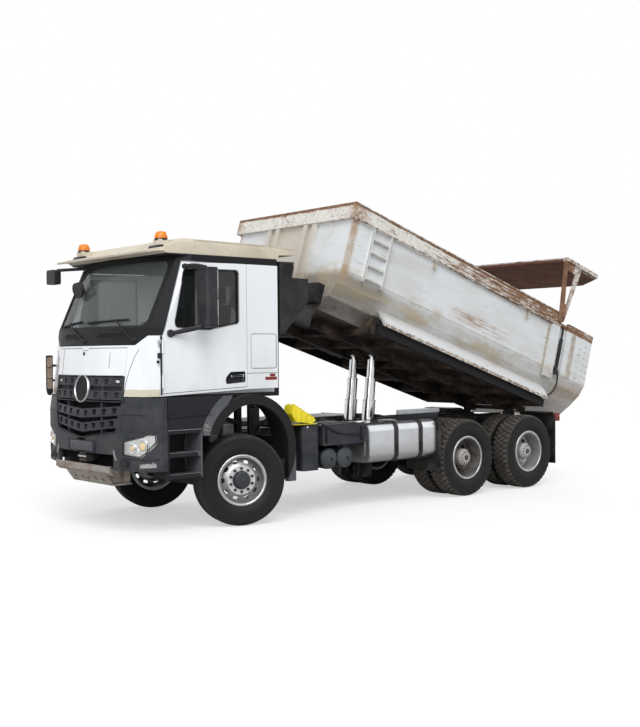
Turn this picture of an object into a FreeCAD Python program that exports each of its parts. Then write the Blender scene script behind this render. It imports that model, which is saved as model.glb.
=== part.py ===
import FreeCAD, Part
import math
import os

# Heavy three axle tipper with a half pipe body and a lift gate.
# Lengths are millimetres. X runs forward from a point under the driver's seat, Y to the left, Z up from the
# ground.
# The last step shifts X so that the origin is under the middle of the whole truck.

# Wheels and axles
AXLE_X = -100.0
WHEEL_BASE = 3800.0
BOGIE = 1350.0
TYRE_R = 540.0
TYRE_W = 314.0
RIM_R = 290.0
RIM_WALL = 22.0
FRONT_TRACK_Y = 1030.0
KINGPIN_Y = 930.0
STEER = 18.0
DUAL_OUT_Y = 1092.0
DUAL_IN_Y = 742.0
DUAL_W = 302.0
MID_X = AXLE_X - WHEEL_BASE
REAR_X = MID_X - BOGIE

SPRING_PAD = 640.0
ARCH_X = AXLE_X - 35
ARCH_Z = 898.0
ARCH_R = 650.0
FLARE_W = 115.0

# Frame
RAIL_OUT = 430.0
RAIL_FLANGE = 80.0
RAIL_LOW = 750.0
RAIL_TOP = 1050.0
RAIL_SHEET = 8.0
RAIL_FRONT = 1150.0
RAIL_REAR = REAR_X - 750
TANK_FRONT = -2040.0
TANK_REAR = MID_X + 610

# Body, in its own frame: u along the floor from the tail, w up from the floor line
TIP = 17.66
BODY_X = REAR_X - 650
BODY_Z = 1220.0
HINGE_U = 100.0
HINGE_W = -120.0
HINGE_PIN = 30.0
FRONT_U = -BODY_X - 1230
TAIL_U = -580.0
HALF_W = 1250.0
PANEL_W = HALF_W - 45
SHEET = 12.0
RIM_LOW = 1145.0
RIM_TOP = 1360.0
TAIL_TOP = 1250.0
GATE_U = 300.0
GATE_W = 1270.0

# Hoist, measured along its axis from the trunnion
HOIST_X = MID_X + 970
HOIST_Z = 860.0
HOIST_Y = 190.0
HOIST_LEAN = 5.92
HOIST_LOW = -590.0
HOIST_TOP = 200.0
STAGE_OUT = 282.5
EYE_T = 1137.8
STAGES = (89.0, 74.0, 59.0)
BORES = (95.0, 80.0, 65.0)

# Cab
CAB_HALF = 1150.0
CAB_REAR = -580.0
CAB_LOW = 1560.0
CAB_WAIST = 2330.0
CAB_TOP = 3150.0
WALL = 60.0
NOSE_X = 1440.0
NOSE_LEAN = 85.0
SCREEN_LEAN = 370.0
BUMPER_X = 1450.0
BUMPER_HALF = CAB_HALF + 75
BUMPER_TOP = 1548.0
BUMPER_LOW = 735.0
BUMPER_SHOULDER = 1365.0
SHOULDER_LEAN = 28.0
TOW_X = 1400.0
TOW_Z = 850.0
TOW_ROOM_HALF = 100.0
TOW_ROOM_TOP = 1065.0
CENTRE_HALF = 650.0
CENTRE_LOW = 905.0
PLATE_HALF = 310.0
GRILLE_HALF = CAB_HALF - 380
GRILLE_DIP = 90.0
GRILLE_LOW = 1160.0
SCREEN_HALF = CAB_HALF - 140
SCREEN_LOW = 2345.0
SCREEN_TOP = 3090.0
DOOR_GAP = 7.0
DOOR_PIN_X = 1048.0
DOOR_PIN_Y = CAB_HALF + 2
DOOR_KNUCKLE_R = 12.0
DOOR_HINGES = (1700.0, 2090.0)
FLAP_PIN_X = 1368.0
FLAP_PIN_Z = 2092.0
FLAP_LOW = 1495.0
FLAP_GRILLE_TOP = 1785.0
BAR_HEIGHT = 104.0

BODY_SIN = math.sin(math.radians(TIP))
BODY_COS = math.cos(math.radians(TIP))
GATE_REAR_U = -640.0
GATE_TOP_W = 2215.0
GATE_IN = GATE_TOP_W - 60
REAR_END = BODY_X + GATE_REAR_U * BODY_COS - GATE_TOP_W * BODY_SIN
ORIGIN_X = (BUMPER_X + REAR_END) / 2

V = FreeCAD.Vector


def box(x0, x1, y0, y1, z0, z1):
    return Part.makeBox(x1 - x0, y1 - y0, z1 - z0, V(x0, y0, z0))


def rod(start, end, radius):
    direction = end - start
    return Part.makeCylinder(radius, direction.Length, start, direction)


def along_y(x, z, radius, y0, y1):
    return Part.makeCylinder(radius, y1 - y0, V(x, y0, z), V(0, 1, 0))


def polygon(points):
    return Part.Face(Part.makePolygon(points + [points[0]]))


def side_prism(outline, y0, y1):
    face = polygon([V(x, y0, z) for x, z in outline])
    return face.extrude(V(0, y1 - y0, 0))


def cross_prism(outline, x0, x1):
    face = polygon([V(x0, y, z) for y, z in outline])
    return face.extrude(V(x1 - x0, 0, 0))


def flat_prism(outline, z0, z1):
    face = polygon([V(x, y, z0) for x, y in outline])
    return face.extrude(V(0, 0, z1 - z0))


def turned(outline):
    """Turns an outline of (y, radius) pairs once around the Y axis."""
    face = polygon([V(radius, y, 0) for y, radius in outline])
    return face.revolve(V(0, 0, 0), V(0, 1, 0), 360)


def other_side(shape):
    return shape.mirror(V(0, 0, 0), V(0, 1, 0))


def both(shape):
    return [shape, other_side(shape)]


def join(shapes):
    whole = shapes[0]
    if len(shapes) > 1:
        whole = whole.fuse(shapes[1:])
    return whole.removeSplitter()


def rounded(shape, radius, wanted):
    edges = [edge for edge in shape.Edges if wanted(edge)]
    return shape.makeFillet(radius, edges)


def runs_along(edge, axis):
    if len(edge.Vertexes) != 2:
        return False
    step = edge.Vertexes[1].Point - edge.Vertexes[0].Point
    return abs(step.normalize().dot(axis)) > 0.999


def moved(shape, x, y, z):
    copy = shape.copy()
    copy.translate(V(x, y, z))
    return copy


def tipped(shape):
    copy = shape.copy()
    copy.rotate(V(0, 0, 0), V(0, 1, 0), -TIP)
    copy.translate(V(BODY_X, 0, BODY_Z))
    return copy


def leaned(shape):
    """Places a shape built upright on the trunnion at the hoist's lean."""
    copy = shape.copy()
    copy.rotate(V(0, 0, 0), V(0, 1, 0), -HOIST_LEAN)
    copy.translate(V(HOIST_X, 0, HOIST_Z))
    return copy


# Wheels

def tyre(width):
    half = width / 2
    bead = half - 36
    outline = [
        (-bead, RIM_R), (-bead, RIM_R + 20), (-half, RIM_R + 105), (-half + 4, TYRE_R - 60),
        (-half + 26, TYRE_R - 12), (-half + 75, TYRE_R), (half - 75, TYRE_R), (half - 26, TYRE_R - 12),
        (half - 4, TYRE_R - 60), (half, RIM_R + 105), (bead, RIM_R + 20), (bead, RIM_R),
    ]
    return turned(outline)


def rim(width, disc_y, disc_dir):
    """A rim whose disc sits at disc_y and faces disc_dir, 1 for outward."""
    half = width / 2 - 36
    well = RIM_R - RIM_WALL
    barrel = turned([(-half - 12, well), (-half - 12, RIM_R + 14), (-half, RIM_R + 14), (-half, RIM_R),
                     (half, RIM_R), (half, RIM_R + 14), (half + 12, RIM_R + 14), (half + 12, well)])
    disc = turned([(disc_y, 90), (disc_y, 170), (disc_y - disc_dir * 55, well + 2),
                   (disc_y - disc_dir * 70, well + 2), (disc_y - disc_dir * 14, 170),
                   (disc_y - disc_dir * 14, 90)])
    holes = []
    for number in range(10):
        turn = math.radians(36 * number)
        for spread in (-0.055, 0.055):
            centre = V(218 * math.cos(turn + spread), 0, 218 * math.sin(turn + spread))
            holes.append(rod(centre + V(0, -200, 0), centre + V(0, 200, 0), 19))
    return barrel.fuse(disc.cut(Part.makeCompound(holes)))


def studs(y0, y1):
    nuts = []
    for number in range(10):
        turn = math.radians(36 * number + 18)
        nuts.append(along_y(138 * math.cos(turn), 138 * math.sin(turn), 14, y0, y1))
    return nuts


def front_rim():
    disc_y = 96
    wheel = rim(TYRE_W, disc_y, 1)
    hub = turned([(-28, 49), (-28, 112), (40, 112), (disc_y - 14, 100), (disc_y + 24, 98),
                  (disc_y + 54, 94), (disc_y + 62, 84), (disc_y + 66, 0), (disc_y + 30, 0),
                   (disc_y + 30, 49)])
    drum = turned([(-92, 184), (-92, 198), (30, 198), (40, 188), (40, 110), (28, 110), (28, 184)])
    return join([wheel, hub, drum] + studs(disc_y - 1, disc_y + 26))


def dual_rims():
    """Both rims of one rear hub and the hub itself, with Y from the truck's middle."""
    middle = (DUAL_OUT_Y + DUAL_IN_Y) / 2
    outer = moved(rim(DUAL_W, middle + 14 - DUAL_OUT_Y, -1), 0, DUAL_OUT_Y, 0)
    inner = moved(rim(DUAL_W, middle - 14 - DUAL_IN_Y, 1), 0, DUAL_IN_Y, 0)
    hub = turned([(598, 61), (598, 150), (middle - 15, 165), (middle + 15, 165), (middle + 60, 128),
                  (1150, 118), (1188, 92), (1196, 0), (930, 0), (910, 61)])
    return join([outer, inner, hub] + studs(middle, middle + 45))


def steered(shape):
    copy = moved(shape, AXLE_X, FRONT_TRACK_Y, TYRE_R)
    copy.rotate(V(AXLE_X, KINGPIN_Y, 0), V(0, 0, 1), -STEER)
    return copy


def steered_right(shape):
    copy = other_side(moved(shape, AXLE_X, FRONT_TRACK_Y, TYRE_R))
    copy.rotate(V(AXLE_X, -KINGPIN_Y, 0), V(0, 0, 1), -STEER)
    return copy


def knuckle():
    """Steering knuckle, with Y from the wheel's middle and Z from its centre."""
    pin_y = KINGPIN_Y - FRONT_TRACK_Y
    pin = Part.makeCylinder(24, 244, V(0, pin_y, -122))
    lugs = [box(-52, 52, pin_y - 50, pin_y + 66, 64, 112), box(-52, 52, pin_y - 50, pin_y + 66, -112, -64)]
    web = box(-52, 52, pin_y + 58, pin_y + 66, -112, 112)
    spindle = along_y(0, 0, 48, pin_y + 60, 110)
    arm = side_prism([(-40, -110), (40, -110), (40, -86), (-40, -86)], pin_y - 95, pin_y - 50)
    return join([pin] + lugs + [web, spindle, arm])


# Axles, springs and frame

def front_axle():
    beam = box(-55, 55, -700, 700, 395, 480)
    parts = [beam]
    for side in (1, -1):
        rise = cross_prism([(side * 640, 395), (side * 700, 395), (side * 850, 492), (side * 850, 588),
                            (side * 790, 588), (side * 640, 480)], -50, 50)
        boss = Part.makeCylinder(52, 96, V(0, side * KINGPIN_Y, 492))
        end = box(-45, 45, min(side * 840, side * KINGPIN_Y), max(side * 840, side * KINGPIN_Y), 492, 588)
        bore = Part.makeCylinder(25, 300, V(0, side * KINGPIN_Y, 400))
        parts.append(rise.fuse([boss, end]).cut(bore))
    return moved(join(parts), AXLE_X, 0, 0)


def drive_axle(x):
    tube = along_y(x, TYRE_R, 76, -588, 588)
    stub = along_y(x, TYRE_R, 60, -900, 900)
    bowl = Part.makeSphere(225, V(x, 0, TYRE_R + 10))
    bowl = bowl.common(box(x - 300, x + 300, -190, 190, 0, 1000))
    nose = rod(V(x, 0, TYRE_R + 30), V(x + 330, 0, TYRE_R + 55), 105)
    flange = rod(V(x + 330, 0, TYRE_R + 55), V(x + 350, 0, TYRE_R + 56), 75)
    rear_flange = rod(V(x - 200, 0, TYRE_R + 20), V(x - 240, 0, TYRE_R + 20), 62)
    pad = box(x - 80, x + 80, 455, 545, TYRE_R - 90, SPRING_PAD)
    return join([tube, stub, bowl, nose, flange, rear_flange] + both(pad))


def leaf(x0, x1, z_end, z_mid, thick):
    middle = (x0 + x1) / 2
    low = Part.Arc(V(x0, 0, z_end), V(middle, 0, z_mid), V(x1, 0, z_end)).toShape()
    high = Part.Arc(V(x0, 0, z_end + thick), V(middle, 0, z_mid + thick), V(x1, 0, z_end + thick)).toShape()
    left = Part.makeLine(V(x0, 0, z_end), V(x0, 0, z_end + thick))
    right = Part.makeLine(V(x1, 0, z_end), V(x1, 0, z_end + thick))
    face = Part.Face(Part.Wire(Part.__sortEdges__([low, right, high, left])))
    return face.extrude(V(0, 80, 0))


def springs():
    front = []
    for layer in range(3):
        short = 190 * layer
        spring = leaf(-850 + short, 850 - short, 640 - 20 * layer, 546 - 20 * layer, 20)
        front.append(moved(spring, 0, 440, 0))
    seat = box(-75, 75, 440, 520, 480, 507)
    hangers = [box(820, 880, RAIL_OUT, 520, 630, 860), box(-880, -820, RAIL_OUT, 520, 630, 860)]
    middle = MID_X - BOGIE / 2
    rear = []
    for layer in range(4):
        short = 150 * layer
        z = SPRING_PAD + 22 * layer
        rear.append(box(MID_X - BOGIE - 60 + short, MID_X + 60 - short, 460, 540, z, z + 22))
    saddle = box(middle - 110, middle + 110, RAIL_OUT, 555, SPRING_PAD + 88, SPRING_PAD + 140)
    post = box(middle - 90, middle + 90, RAIL_OUT, 455, 590, 900)
    left = moved(join(front + [seat] + hangers), AXLE_X, 0, 0)
    bogie = join(rear + [saddle, post])
    return Part.makeCompound(both(left) + both(bogie))


def rail():
    web = box(RAIL_REAR, RAIL_FRONT, RAIL_OUT - RAIL_SHEET, RAIL_OUT, RAIL_LOW, RAIL_TOP)
    top = box(RAIL_REAR, RAIL_FRONT, RAIL_OUT - RAIL_FLANGE, RAIL_OUT, RAIL_TOP - RAIL_SHEET, RAIL_TOP)
    low = box(RAIL_REAR, RAIL_FRONT, RAIL_OUT - RAIL_FLANGE, RAIL_OUT, RAIL_LOW, RAIL_LOW + RAIL_SHEET)
    return web.fuse([top, low])


def hinge_place():
    x = BODY_X + HINGE_U * BODY_COS - HINGE_W * BODY_SIN
    z = BODY_Z + HINGE_U * BODY_SIN + HINGE_W * BODY_COS
    return x, z


def frame():
    inner = RAIL_OUT - RAIL_SHEET
    parts = both(rail())
    for x in (RAIL_FRONT - 90, -1330, -2450, -3420, MID_X - BOGIE / 2 - 40, RAIL_REAR + 10):
        parts.append(box(x, x + 80, -inner, inner, RAIL_LOW + 150, RAIL_TOP - 40))
    pin_x, pin_z = hinge_place()
    ear = side_prism([(pin_x - 130, 800), (pin_x + 130, 800), (pin_x + 60, pin_z), (pin_x + 40, pin_z + 50),
                      (pin_x - 40, pin_z + 50), (pin_x - 60, pin_z)], RAIL_OUT, RAIL_OUT + 34)
    ear = ear.cut(along_y(pin_x, pin_z, HINGE_PIN + 1, 0, 600))
    parts += both(ear)
    bearing = box(HOIST_X - 90, HOIST_X + 90, 332, RAIL_OUT - RAIL_FLANGE + 10, HOIST_Z - 90, RAIL_TOP - 4)
    bearing = bearing.cut(along_y(HOIST_X, HOIST_Z, 36, 300, 400))
    parts += both(bearing)
    for x in (1050, -560):
        parts += both(box(x, x + 70, 352, 428, RAIL_TOP, CAB_LOW))
    for x in (-1700, -2600, -4600):
        parts += both(box(x - 60, x + 60, 352, 428, RAIL_TOP, RAIL_TOP + 28))
    tail_slope = side_prism([(RAIL_REAR + 120, RAIL_TOP + 10), (RAIL_REAR - 10, RAIL_TOP - 170),
                             (RAIL_REAR - 10, RAIL_TOP + 10)], -500, 500)
    return join(parts).cut(tail_slope)


def tow_jaw():
    """Front towing jaw: two lips with one pin hole, in the opening of the bumper."""
    block = box(TOW_X - 85, TOW_X + 32, -75, 75, TOW_Z - 55, TOW_Z + 55)
    throat = box(TOW_X - 35, TOW_X + 45, -80, 80, TOW_Z - 20, TOW_Z + 20)
    pin_hole = Part.makeCylinder(21, 300, V(TOW_X, 0, TOW_Z - 150))
    stem = box(RAIL_FRONT - 5, TOW_X - 80, -60, 60, TOW_Z - 40, TOW_Z + 40)
    cross = box(RAIL_FRONT - 10, RAIL_FRONT + 10, -345, 345, TOW_Z - 70, RAIL_TOP - 40)
    return join([block.cut(throat), stem, cross]).cut(pin_hole)


def drivetrain():
    engine = box(-320, 940, -310, 310, 700, 1490)
    bell = rod(V(-320, 0, 870), V(-520, 0, 865), 250)
    gearbox = box(-1150, -520, -220, 220, 680, 1060)
    shaft = rod(V(-1150, 0, 800), V(MID_X + 345, 0, TYRE_R + 56), 48).cut(drive_axle(MID_X))
    second = rod(V(MID_X - 235, 0, TYRE_R + 20), V(REAR_X + 345, 0, TYRE_R + 56), 44)
    second = second.cut([drive_axle(MID_X), drive_axle(REAR_X)])
    feet = both(box(150, 250, 300, 422, 800, 900)) + both(box(-900, -820, 200, 422, 800, 900))
    return Part.makeCompound([join([engine, bell, gearbox, shaft] + feet), second])


# Side equipment

def fuel_tank():
    tank = box(TANK_REAR, TANK_FRONT, 560, 1190, 590, 1110)
    tank = rounded(tank, 110, lambda edge: runs_along(edge, V(1, 0, 0)))
    straps = []
    for share in (0.24, 0.608):
        x = TANK_REAR + share * (TANK_FRONT - TANK_REAR)
        band = box(x - 35, x + 35, 552, 1198, 582, 1118)
        band = rounded(band, 116, lambda edge: runs_along(edge, V(1, 0, 0)))
        bracket = box(x - 35, x + 35, RAIL_OUT, 600, 600, 1000)
        straps += [band, bracket.cut(box(x - 40, x + 40, 500, 600, 640, 1100))]
    return join([tank] + straps)


def air_tanks():
    tanks = []
    for x in (-1440, -1712):
        body = along_y(x, 690, 130, 610, 1085)
        cap = Part.makeSphere(210, V(x, 920, 690)).common(box(x - 200, x + 200, 1085, 1200, 500, 900))
        tanks.append(body.fuse(cap.common(along_y(x, 690, 130, 1000, 1200))))
    hanger = box(-1780, -1370, RAIL_OUT, 620, 660, 720)
    plate = box(-1780, -1370, RAIL_OUT, RAIL_OUT + 20, 660, 850)
    return join(tanks + [hanger, plate])


def side_boxes():
    battery = box(-2010, -1290, RAIL_OUT, 1140, 862, 1120)
    battery = rounded(battery, 20, lambda edge: runs_along(edge, V(0, 1, 0)))
    urea = box(-1190, -925, 700, 1190, 575, 1150)
    urea = rounded(urea, 45, lambda edge: runs_along(edge, V(0, 0, 1)))
    urea_arm = box(-1120, -1000, RAIL_OUT, 700, 800, 960)
    silencer = box(-2150, -1250, -1180, -RAIL_OUT, 600, 1110)
    silencer = rounded(silencer, 60, lambda edge: runs_along(edge, V(1, 0, 0)))
    oil = box(MID_X + 650, -2350, -1180, -RAIL_OUT, 600, 1110)
    oil = rounded(oil, 80, lambda edge: runs_along(edge, V(1, 0, 0)))
    return Part.makeCompound([battery, join([urea, urea_arm]), silencer, oil])


def intake():
    """Air intake behind the cab: a mouth at roof height, a filter housing below it and a hidden duct."""
    housing = side_prism([(-640, 3140), (-865, 3140), (-870, 3070), (-840, 2950), (-1090, 2945),
                          (-1090, 2665), (-700, 2260), (-640, 2260)], 700, 1120)
    for row in range(6):
        housing = housing.cut(box(-880, -700, 1108, 1130, 2965 + 27 * row, 2979 + 27 * row))
    duct = box(-900, -640, 480, 760, 1500, 2300)
    return join([housing, duct, box(-800, -640, RAIL_OUT, 480, 1000, 1560)])


# Bumper, lamps, steps and mudguards

def nose_plan(front, half, corner_x, inset=0.0):
    """Half round plan of the cab's nose as a closed wire at Z zero, open for an upright extrusion."""
    y_side = half - inset
    points = [V(CAB_REAR + inset, y_side, 0), V(corner_x, y_side, 0), V(corner_x + 150, y_side - 75, 0),
              V(front - 95 - inset, half * 0.70, 0)]
    edges = [Part.makeLine(points[i], points[i + 1]) for i in range(3)]
    mirror_points = [V(p.x, -p.y, 0) for p in points]
    edges.append(Part.Arc(points[3], V(front - inset, 0, 0), mirror_points[3]).toShape())
    edges += [Part.makeLine(mirror_points[i + 1], mirror_points[i]) for i in (2, 1, 0)]
    edges.append(Part.makeLine(mirror_points[0], points[0]))
    return Part.Face(Part.Wire(Part.__sortEdges__(edges)))


def nose_solid(front, half, corner_x, z0, z1, lean, inset=0.0):
    face = nose_plan(front, half, corner_x, inset)
    face.translate(V(0, 0, z0))
    return face.extrude(V(-lean, 0, z1 - z0))


def bumper_skin():
    skin = nose_solid(BUMPER_X, BUMPER_HALF, 1110, BUMPER_LOW, BUMPER_SHOULDER, 0)
    skin = skin.fuse(nose_solid(BUMPER_X, BUMPER_HALF, 1110, BUMPER_SHOULDER, BUMPER_TOP, SHOULDER_LEAN))
    open_top = 1600
    open_lean = SHOULDER_LEAN * (open_top - BUMPER_SHOULDER) / (BUMPER_TOP - BUMPER_SHOULDER)
    hollow = nose_solid(BUMPER_X, BUMPER_HALF, 1110, 600, BUMPER_SHOULDER, 0, 45)
    hollow = hollow.fuse(nose_solid(BUMPER_X, BUMPER_HALF, 1110, BUMPER_SHOULDER, open_top, open_lean, 45))
    return skin.cut(hollow).common(box(1045, 1500, -1300, 1300, 600, 1600))


def chevron(half, side_z, middle_z, height):
    """A bar seen from the front that dips toward the middle, as a closed outline of Y and Z."""
    low, high = -height / 2, height / 2
    return [(-half, side_z + low), (0, middle_z + low), (half, side_z + low), (half, side_z + high),
            (0, middle_z + high), (-half, side_z + high)]


def grille_bar(skin, half, side_z, middle_z, clear_half, setback):
    """One grille bar cut from a skin, set back a little, with a row of square mouths."""
    outline = chevron(half, side_z, middle_z, BAR_HEIGHT)
    bar = moved(skin, -setback, 0, 0).common(cross_prism(outline, 1150, 1500))
    count = 8
    pitch = 2 * (half - 95) / (count - 1)
    for number in range(count):
        y = -half + 95 + pitch * number
        if abs(y) < clear_half:
            continue
        z = middle_z + (side_z - middle_z) * abs(y) / half
        mouth = cross_prism([(y - 42, z + 34), (y + 42, z + 34), (y + 30, z - 30), (y - 30, z - 30)],
                            1100, 1500)
        bar = bar.cut(mouth)
    return bar


def bumper():
    skin = bumper_skin()
    frame_line = [(-GRILLE_HALF, FLAP_LOW), (GRILLE_HALF, FLAP_LOW), (GRILLE_HALF - 90, GRILLE_LOW),
                  (0, GRILLE_LOW - GRILLE_DIP), (90 - GRILLE_HALF, GRILLE_LOW)]
    shell = skin.cut(cross_prism(frame_line, 1100, 1500))
    shell = shell.cut(box(1100, 1500, -CENTRE_HALF - 160, CENTRE_HALF + 160, FLAP_LOW - 7, 1600))
    shell = shell.cut(box(1200, 1500, -CENTRE_HALF, CENTRE_HALF, 600, CENTRE_LOW))
    for side in (1, -1):
        shell = shell.cut([lamp_region(side), fog_region(side)])
    bars = [grille_bar(skin, GRILLE_HALF - 30, 1400, 1352, 0, 10),
            grille_bar(skin, GRILLE_HALF - 75, 1262, 1188, 0, 14)]
    ties = both(box(1046, 1086, RAIL_OUT, 1190, 830, 880))
    stays = both(box(RAIL_FRONT, 1400, 352, 428, CENTRE_LOW + 10, CENTRE_LOW + 90))
    posts = both(box(1330, 1400, 380, 410, 1100, FLAP_LOW - 12))
    whole = join([shell] + bars + ties + stays + posts)
    room = box(1300, 1500, -TOW_ROOM_HALF, TOW_ROOM_HALF, 600, TOW_ROOM_TOP)
    holder_seat = box(BUMPER_X - 17, 1500, -PLATE_HALF, PLATE_HALF, 915, 1045)
    whole = whole.cut([room, holder_seat])
    below = box(0, 2000, -2000, 2000, 0, TOW_ROOM_TOP)
    holder = box(BUMPER_X - 17, BUMPER_X, -PLATE_HALF, PLATE_HALF, 915, 1045)
    return Part.makeCompound(whole.cut(below).Solids + whole.common(below).Solids + [holder])


def lamp_region(side):
    """Space of one headlamp, seen from the front: straight above and toward the middle, round below."""
    corners = [V(1120, side * 800, 905), V(1120, side * 800, 1062), V(1120, side * 1196, 1155),
               V(1120, side * 1200, 1060), V(1120, side * 1030, 885)]
    edges = [Part.makeLine(corners[i], corners[i + 1]) for i in range(3)]
    edges.append(Part.Arc(corners[3], V(1120, side * 1140, 940), corners[4]).toShape())
    edges.append(Part.makeLine(corners[4], corners[0]))
    return Part.Face(Part.Wire(edges)).extrude(V(400, 0, 0))


def fog_region(side):
    corners = [(1010, 770), (1195, 782), (1195, 835), (1040, 818)]
    return cross_prism([(side * y, z) for y, z in corners], 1100, 1500)


def headlamps():
    lens = nose_solid(BUMPER_X - 12, BUMPER_HALF - 12, 1102, BUMPER_LOW, BUMPER_SHOULDER, 0)
    lens = lens.cut(nose_solid(BUMPER_X, BUMPER_HALF, 1110, 600, 1600, 0, 45))
    pieces = []
    for side in (1, -1):
        pieces += [lens.common(lamp_region(side)), lens.common(fog_region(side))]
    return Part.makeCompound(pieces)


def skid_plate():
    """Worn steel strip under the bumper and the holed plate that slopes back below it."""
    plate = side_prism([(1446, 772), (1446, 700), (1400, 665), (1300, 530), (1050, 530), (1050, 545),
                        (1292, 545), (1388, 676), (1431, 708), (1431, 772)], -640, 640)
    plate = plate.cut(both(box(1000, 1500, 470, 700, 500, 664)))
    for number in range(5):
        plate = plate.cut(rod(V(1250, 160 * (number - 2), 640), V(1420, 160 * (number - 2), 560), 23))
    stays = both(box(1050, 1130, 352, 428, 540, RAIL_LOW))
    gussets = both(side_prism([(1130, 545), (1292, 545), (1388, 676), (1380, 745), (1130, 745)], 360, 372))
    return join([plate] + stays + gussets)


def arch_band(r_in, r_out, y0, y1):
    centre = V(ARCH_X, 0, ARCH_Z)
    ring = along_y(centre.x, centre.z, r_out, y0, y1).cut(along_y(centre.x, centre.z, r_in, y0 - 1, y1 + 1))
    upper = ring.common(box(-900, 900, y0, y1, ARCH_Z, 1700))
    rear_leg = box(centre.x - r_out, centre.x - r_in, y0, y1, 480, ARCH_Z)
    front_cut = box(ARCH_X, 900, y0 - 1, y1 + 1, 800, 1100)
    return upper.fuse(rear_leg).cut(front_cut)


def front_mudguard():
    roof = arch_band(ARCH_R - 20, ARCH_R, 780, 1226)
    flare = arch_band(ARCH_R - FLARE_W, ARCH_R, 1196, 1226)
    lip = arch_band(ARCH_R - FLARE_W, ARCH_R - FLARE_W + 12, 1150, 1200)
    skirt = side_prism([(150, 1545), (1035, 1545), (1035, 1185), (560, 1185), (560, 1100), (460, 1100)],
                       1196, 1226)
    skirt = skirt.cut(along_y(ARCH_X, ARCH_Z, ARCH_R - 5, 1100, 1300))
    fold = side_prism([(430, 1372), (1035, 1352), (1035, 1322), (430, 1342)], 1220, 1238)
    fold = fold.cut(along_y(ARCH_X, ARCH_Z, ARCH_R - 5, 1100, 1300))
    rear_stay = box(ARCH_X - ARCH_R, ARCH_X - ARCH_R + 20, RAIL_OUT, 790, 880, 1000)
    front_stay = box(440, 470, RAIL_OUT, 800, 1130, 1190).fuse(box(440, 470, RAIL_OUT, 460, 900, 1190))
    return join([roof, flare, lip, skirt, fold, rear_stay, front_stay])


def steps():
    back = box(575, 1040, 905, 925, 640, 1500)
    cheek = box(1015, 1040, 925, 1215, 640, 1185)
    rear = box(575, 595, 925, 1215, 640, 1185)
    treads = [box(575, 1040, 925, 1215, z, z + 45) for z in (640, 880, 1140)]
    stay = box(760, 860, RAIL_OUT, 905, 980, 1030)
    return join([back, cheek, rear, stay] + treads)


def front_mudguards():
    left = front_mudguard().cut(steps())
    return Part.makeCompound(both(left) + both(steps()))


def rear_mudguards():
    front_x = MID_X + TYRE_R + 35
    flap = box(front_x, front_x + 12, 590, 1245, 390, 1110)
    flap_arm = box(front_x, front_x + 12, RAIL_OUT, 600, 800, 860)
    front = join([flap, flap_arm])
    rear = side_prism([(0, 1092), (0, 1104), (-200, 1104), (-260, 1040), (-260, 320), (-248, 320),
                       (-248, 1036), (-196, 1092)], 590, 1245)
    rear = moved(rear, REAR_X - 350, 0, 0)
    arm = box(REAR_X - 410, REAR_X - 350, RAIL_OUT, 600, 1000, 1095)
    return Part.makeCompound(both(front) + both(join([rear, arm])))


def rear_lamps():
    front = RAIL_REAR + 60
    bar = box(RAIL_REAR + 10, front, -1150, 1150, 560, 650)
    stays = both(box(RAIL_REAR + 10, front, 340, 420, 640, RAIL_LOW))
    lamps = both(box(RAIL_REAR - 10, RAIL_REAR + 140, 1080, 1215, 955, 1075))
    links = both(box(RAIL_REAR + 10, RAIL_REAR + 40, 1090, 1150, 640, 960))
    return join([bar] + stays + lamps + links)


def chocks():
    wedges = []
    for y in (1040, 1130):
        wedge = side_prism([(-1120, 1200), (-770, 1395), (-742, 1290), (-800, 1195), (-1060, 1158)],
                           y, y + 78)
        wedges.append(wedge)
    carrier = box(-1120, -780, 1035, 1212, 1152, 1158)
    return join(wedges + [carrier, box(-1130, -1060, 900, 1215, 1150, 1158)])


# Cab

def cab_solid(inset):
    low_z = CAB_LOW + inset
    waist = CAB_WAIST
    lower_lean = NOSE_LEAN * (waist - low_z) / (waist - CAB_LOW)
    low_x = NOSE_X - NOSE_LEAN + lower_lean
    lower = nose_solid(low_x, CAB_HALF, 1100, low_z, waist, lower_lean, inset)
    upper = nose_solid(NOSE_X - NOSE_LEAN, CAB_HALF, 1015, waist, CAB_TOP - inset, SCREEN_LEAN, inset)
    block = box(CAB_REAR + inset, 0, -CAB_HALF + inset, CAB_HALF - inset, low_z, CAB_TOP - inset)
    keep = box(CAB_REAR + inset, 2000, -2000, 2000, 0, 5000)
    return lower.fuse([upper, block]).common(keep).removeSplitter()


DOOR_OUTLINE = [(-120, 1634), (1050, 1588), (1050, 2210), (765, 3075), (-120, 3090)]
WINDOW_OUTLINE = [(0, 2385), (430, 2305), (870, 2330), (885, 2395), (750, 2995), (0, 3005)]
HANDLE_OUTLINE = [(-80, 1700), (185, 1682), (190, 1745), (125, 1812), (-80, 1816)]
SILL_OUTLINE = [(-600, 1500), (1060, 1500), (1060, 1562), (-120, 1610), (-600, 1616)]


def inset_outline(outline, gap):
    """Moves each corner of a convex outline inward by the gap on both of its sides."""
    count = len(outline)
    area = sum(outline[i][0] * outline[(i + 1) % count][1] - outline[(i + 1) % count][0] * outline[i][1]
               for i in range(count))
    sign = 1 if area > 0 else -1
    result = []
    for i in range(count):
        ax, az = outline[i - 1]
        bx, bz = outline[i]
        cx, cz = outline[(i + 1) % count]
        first = math.hypot(bx - ax, bz - az)
        second = math.hypot(cx - bx, cz - bz)
        n1 = (-(bz - az) / first * sign, (bx - ax) / first * sign)
        n2 = (-(cz - bz) / second * sign, (cx - bx) / second * sign)
        scale = gap / (1 + n1[0] * n2[0] + n1[1] * n2[1])
        result.append((bx + (n1[0] + n2[0]) * scale, bz + (n1[1] + n2[1]) * scale))
    return result


def window_hole(y0, y1):
    return rounded(side_prism(WINDOW_OUTLINE, y0, y1), 42, lambda edge: runs_along(edge, V(0, 1, 0)))


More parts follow.
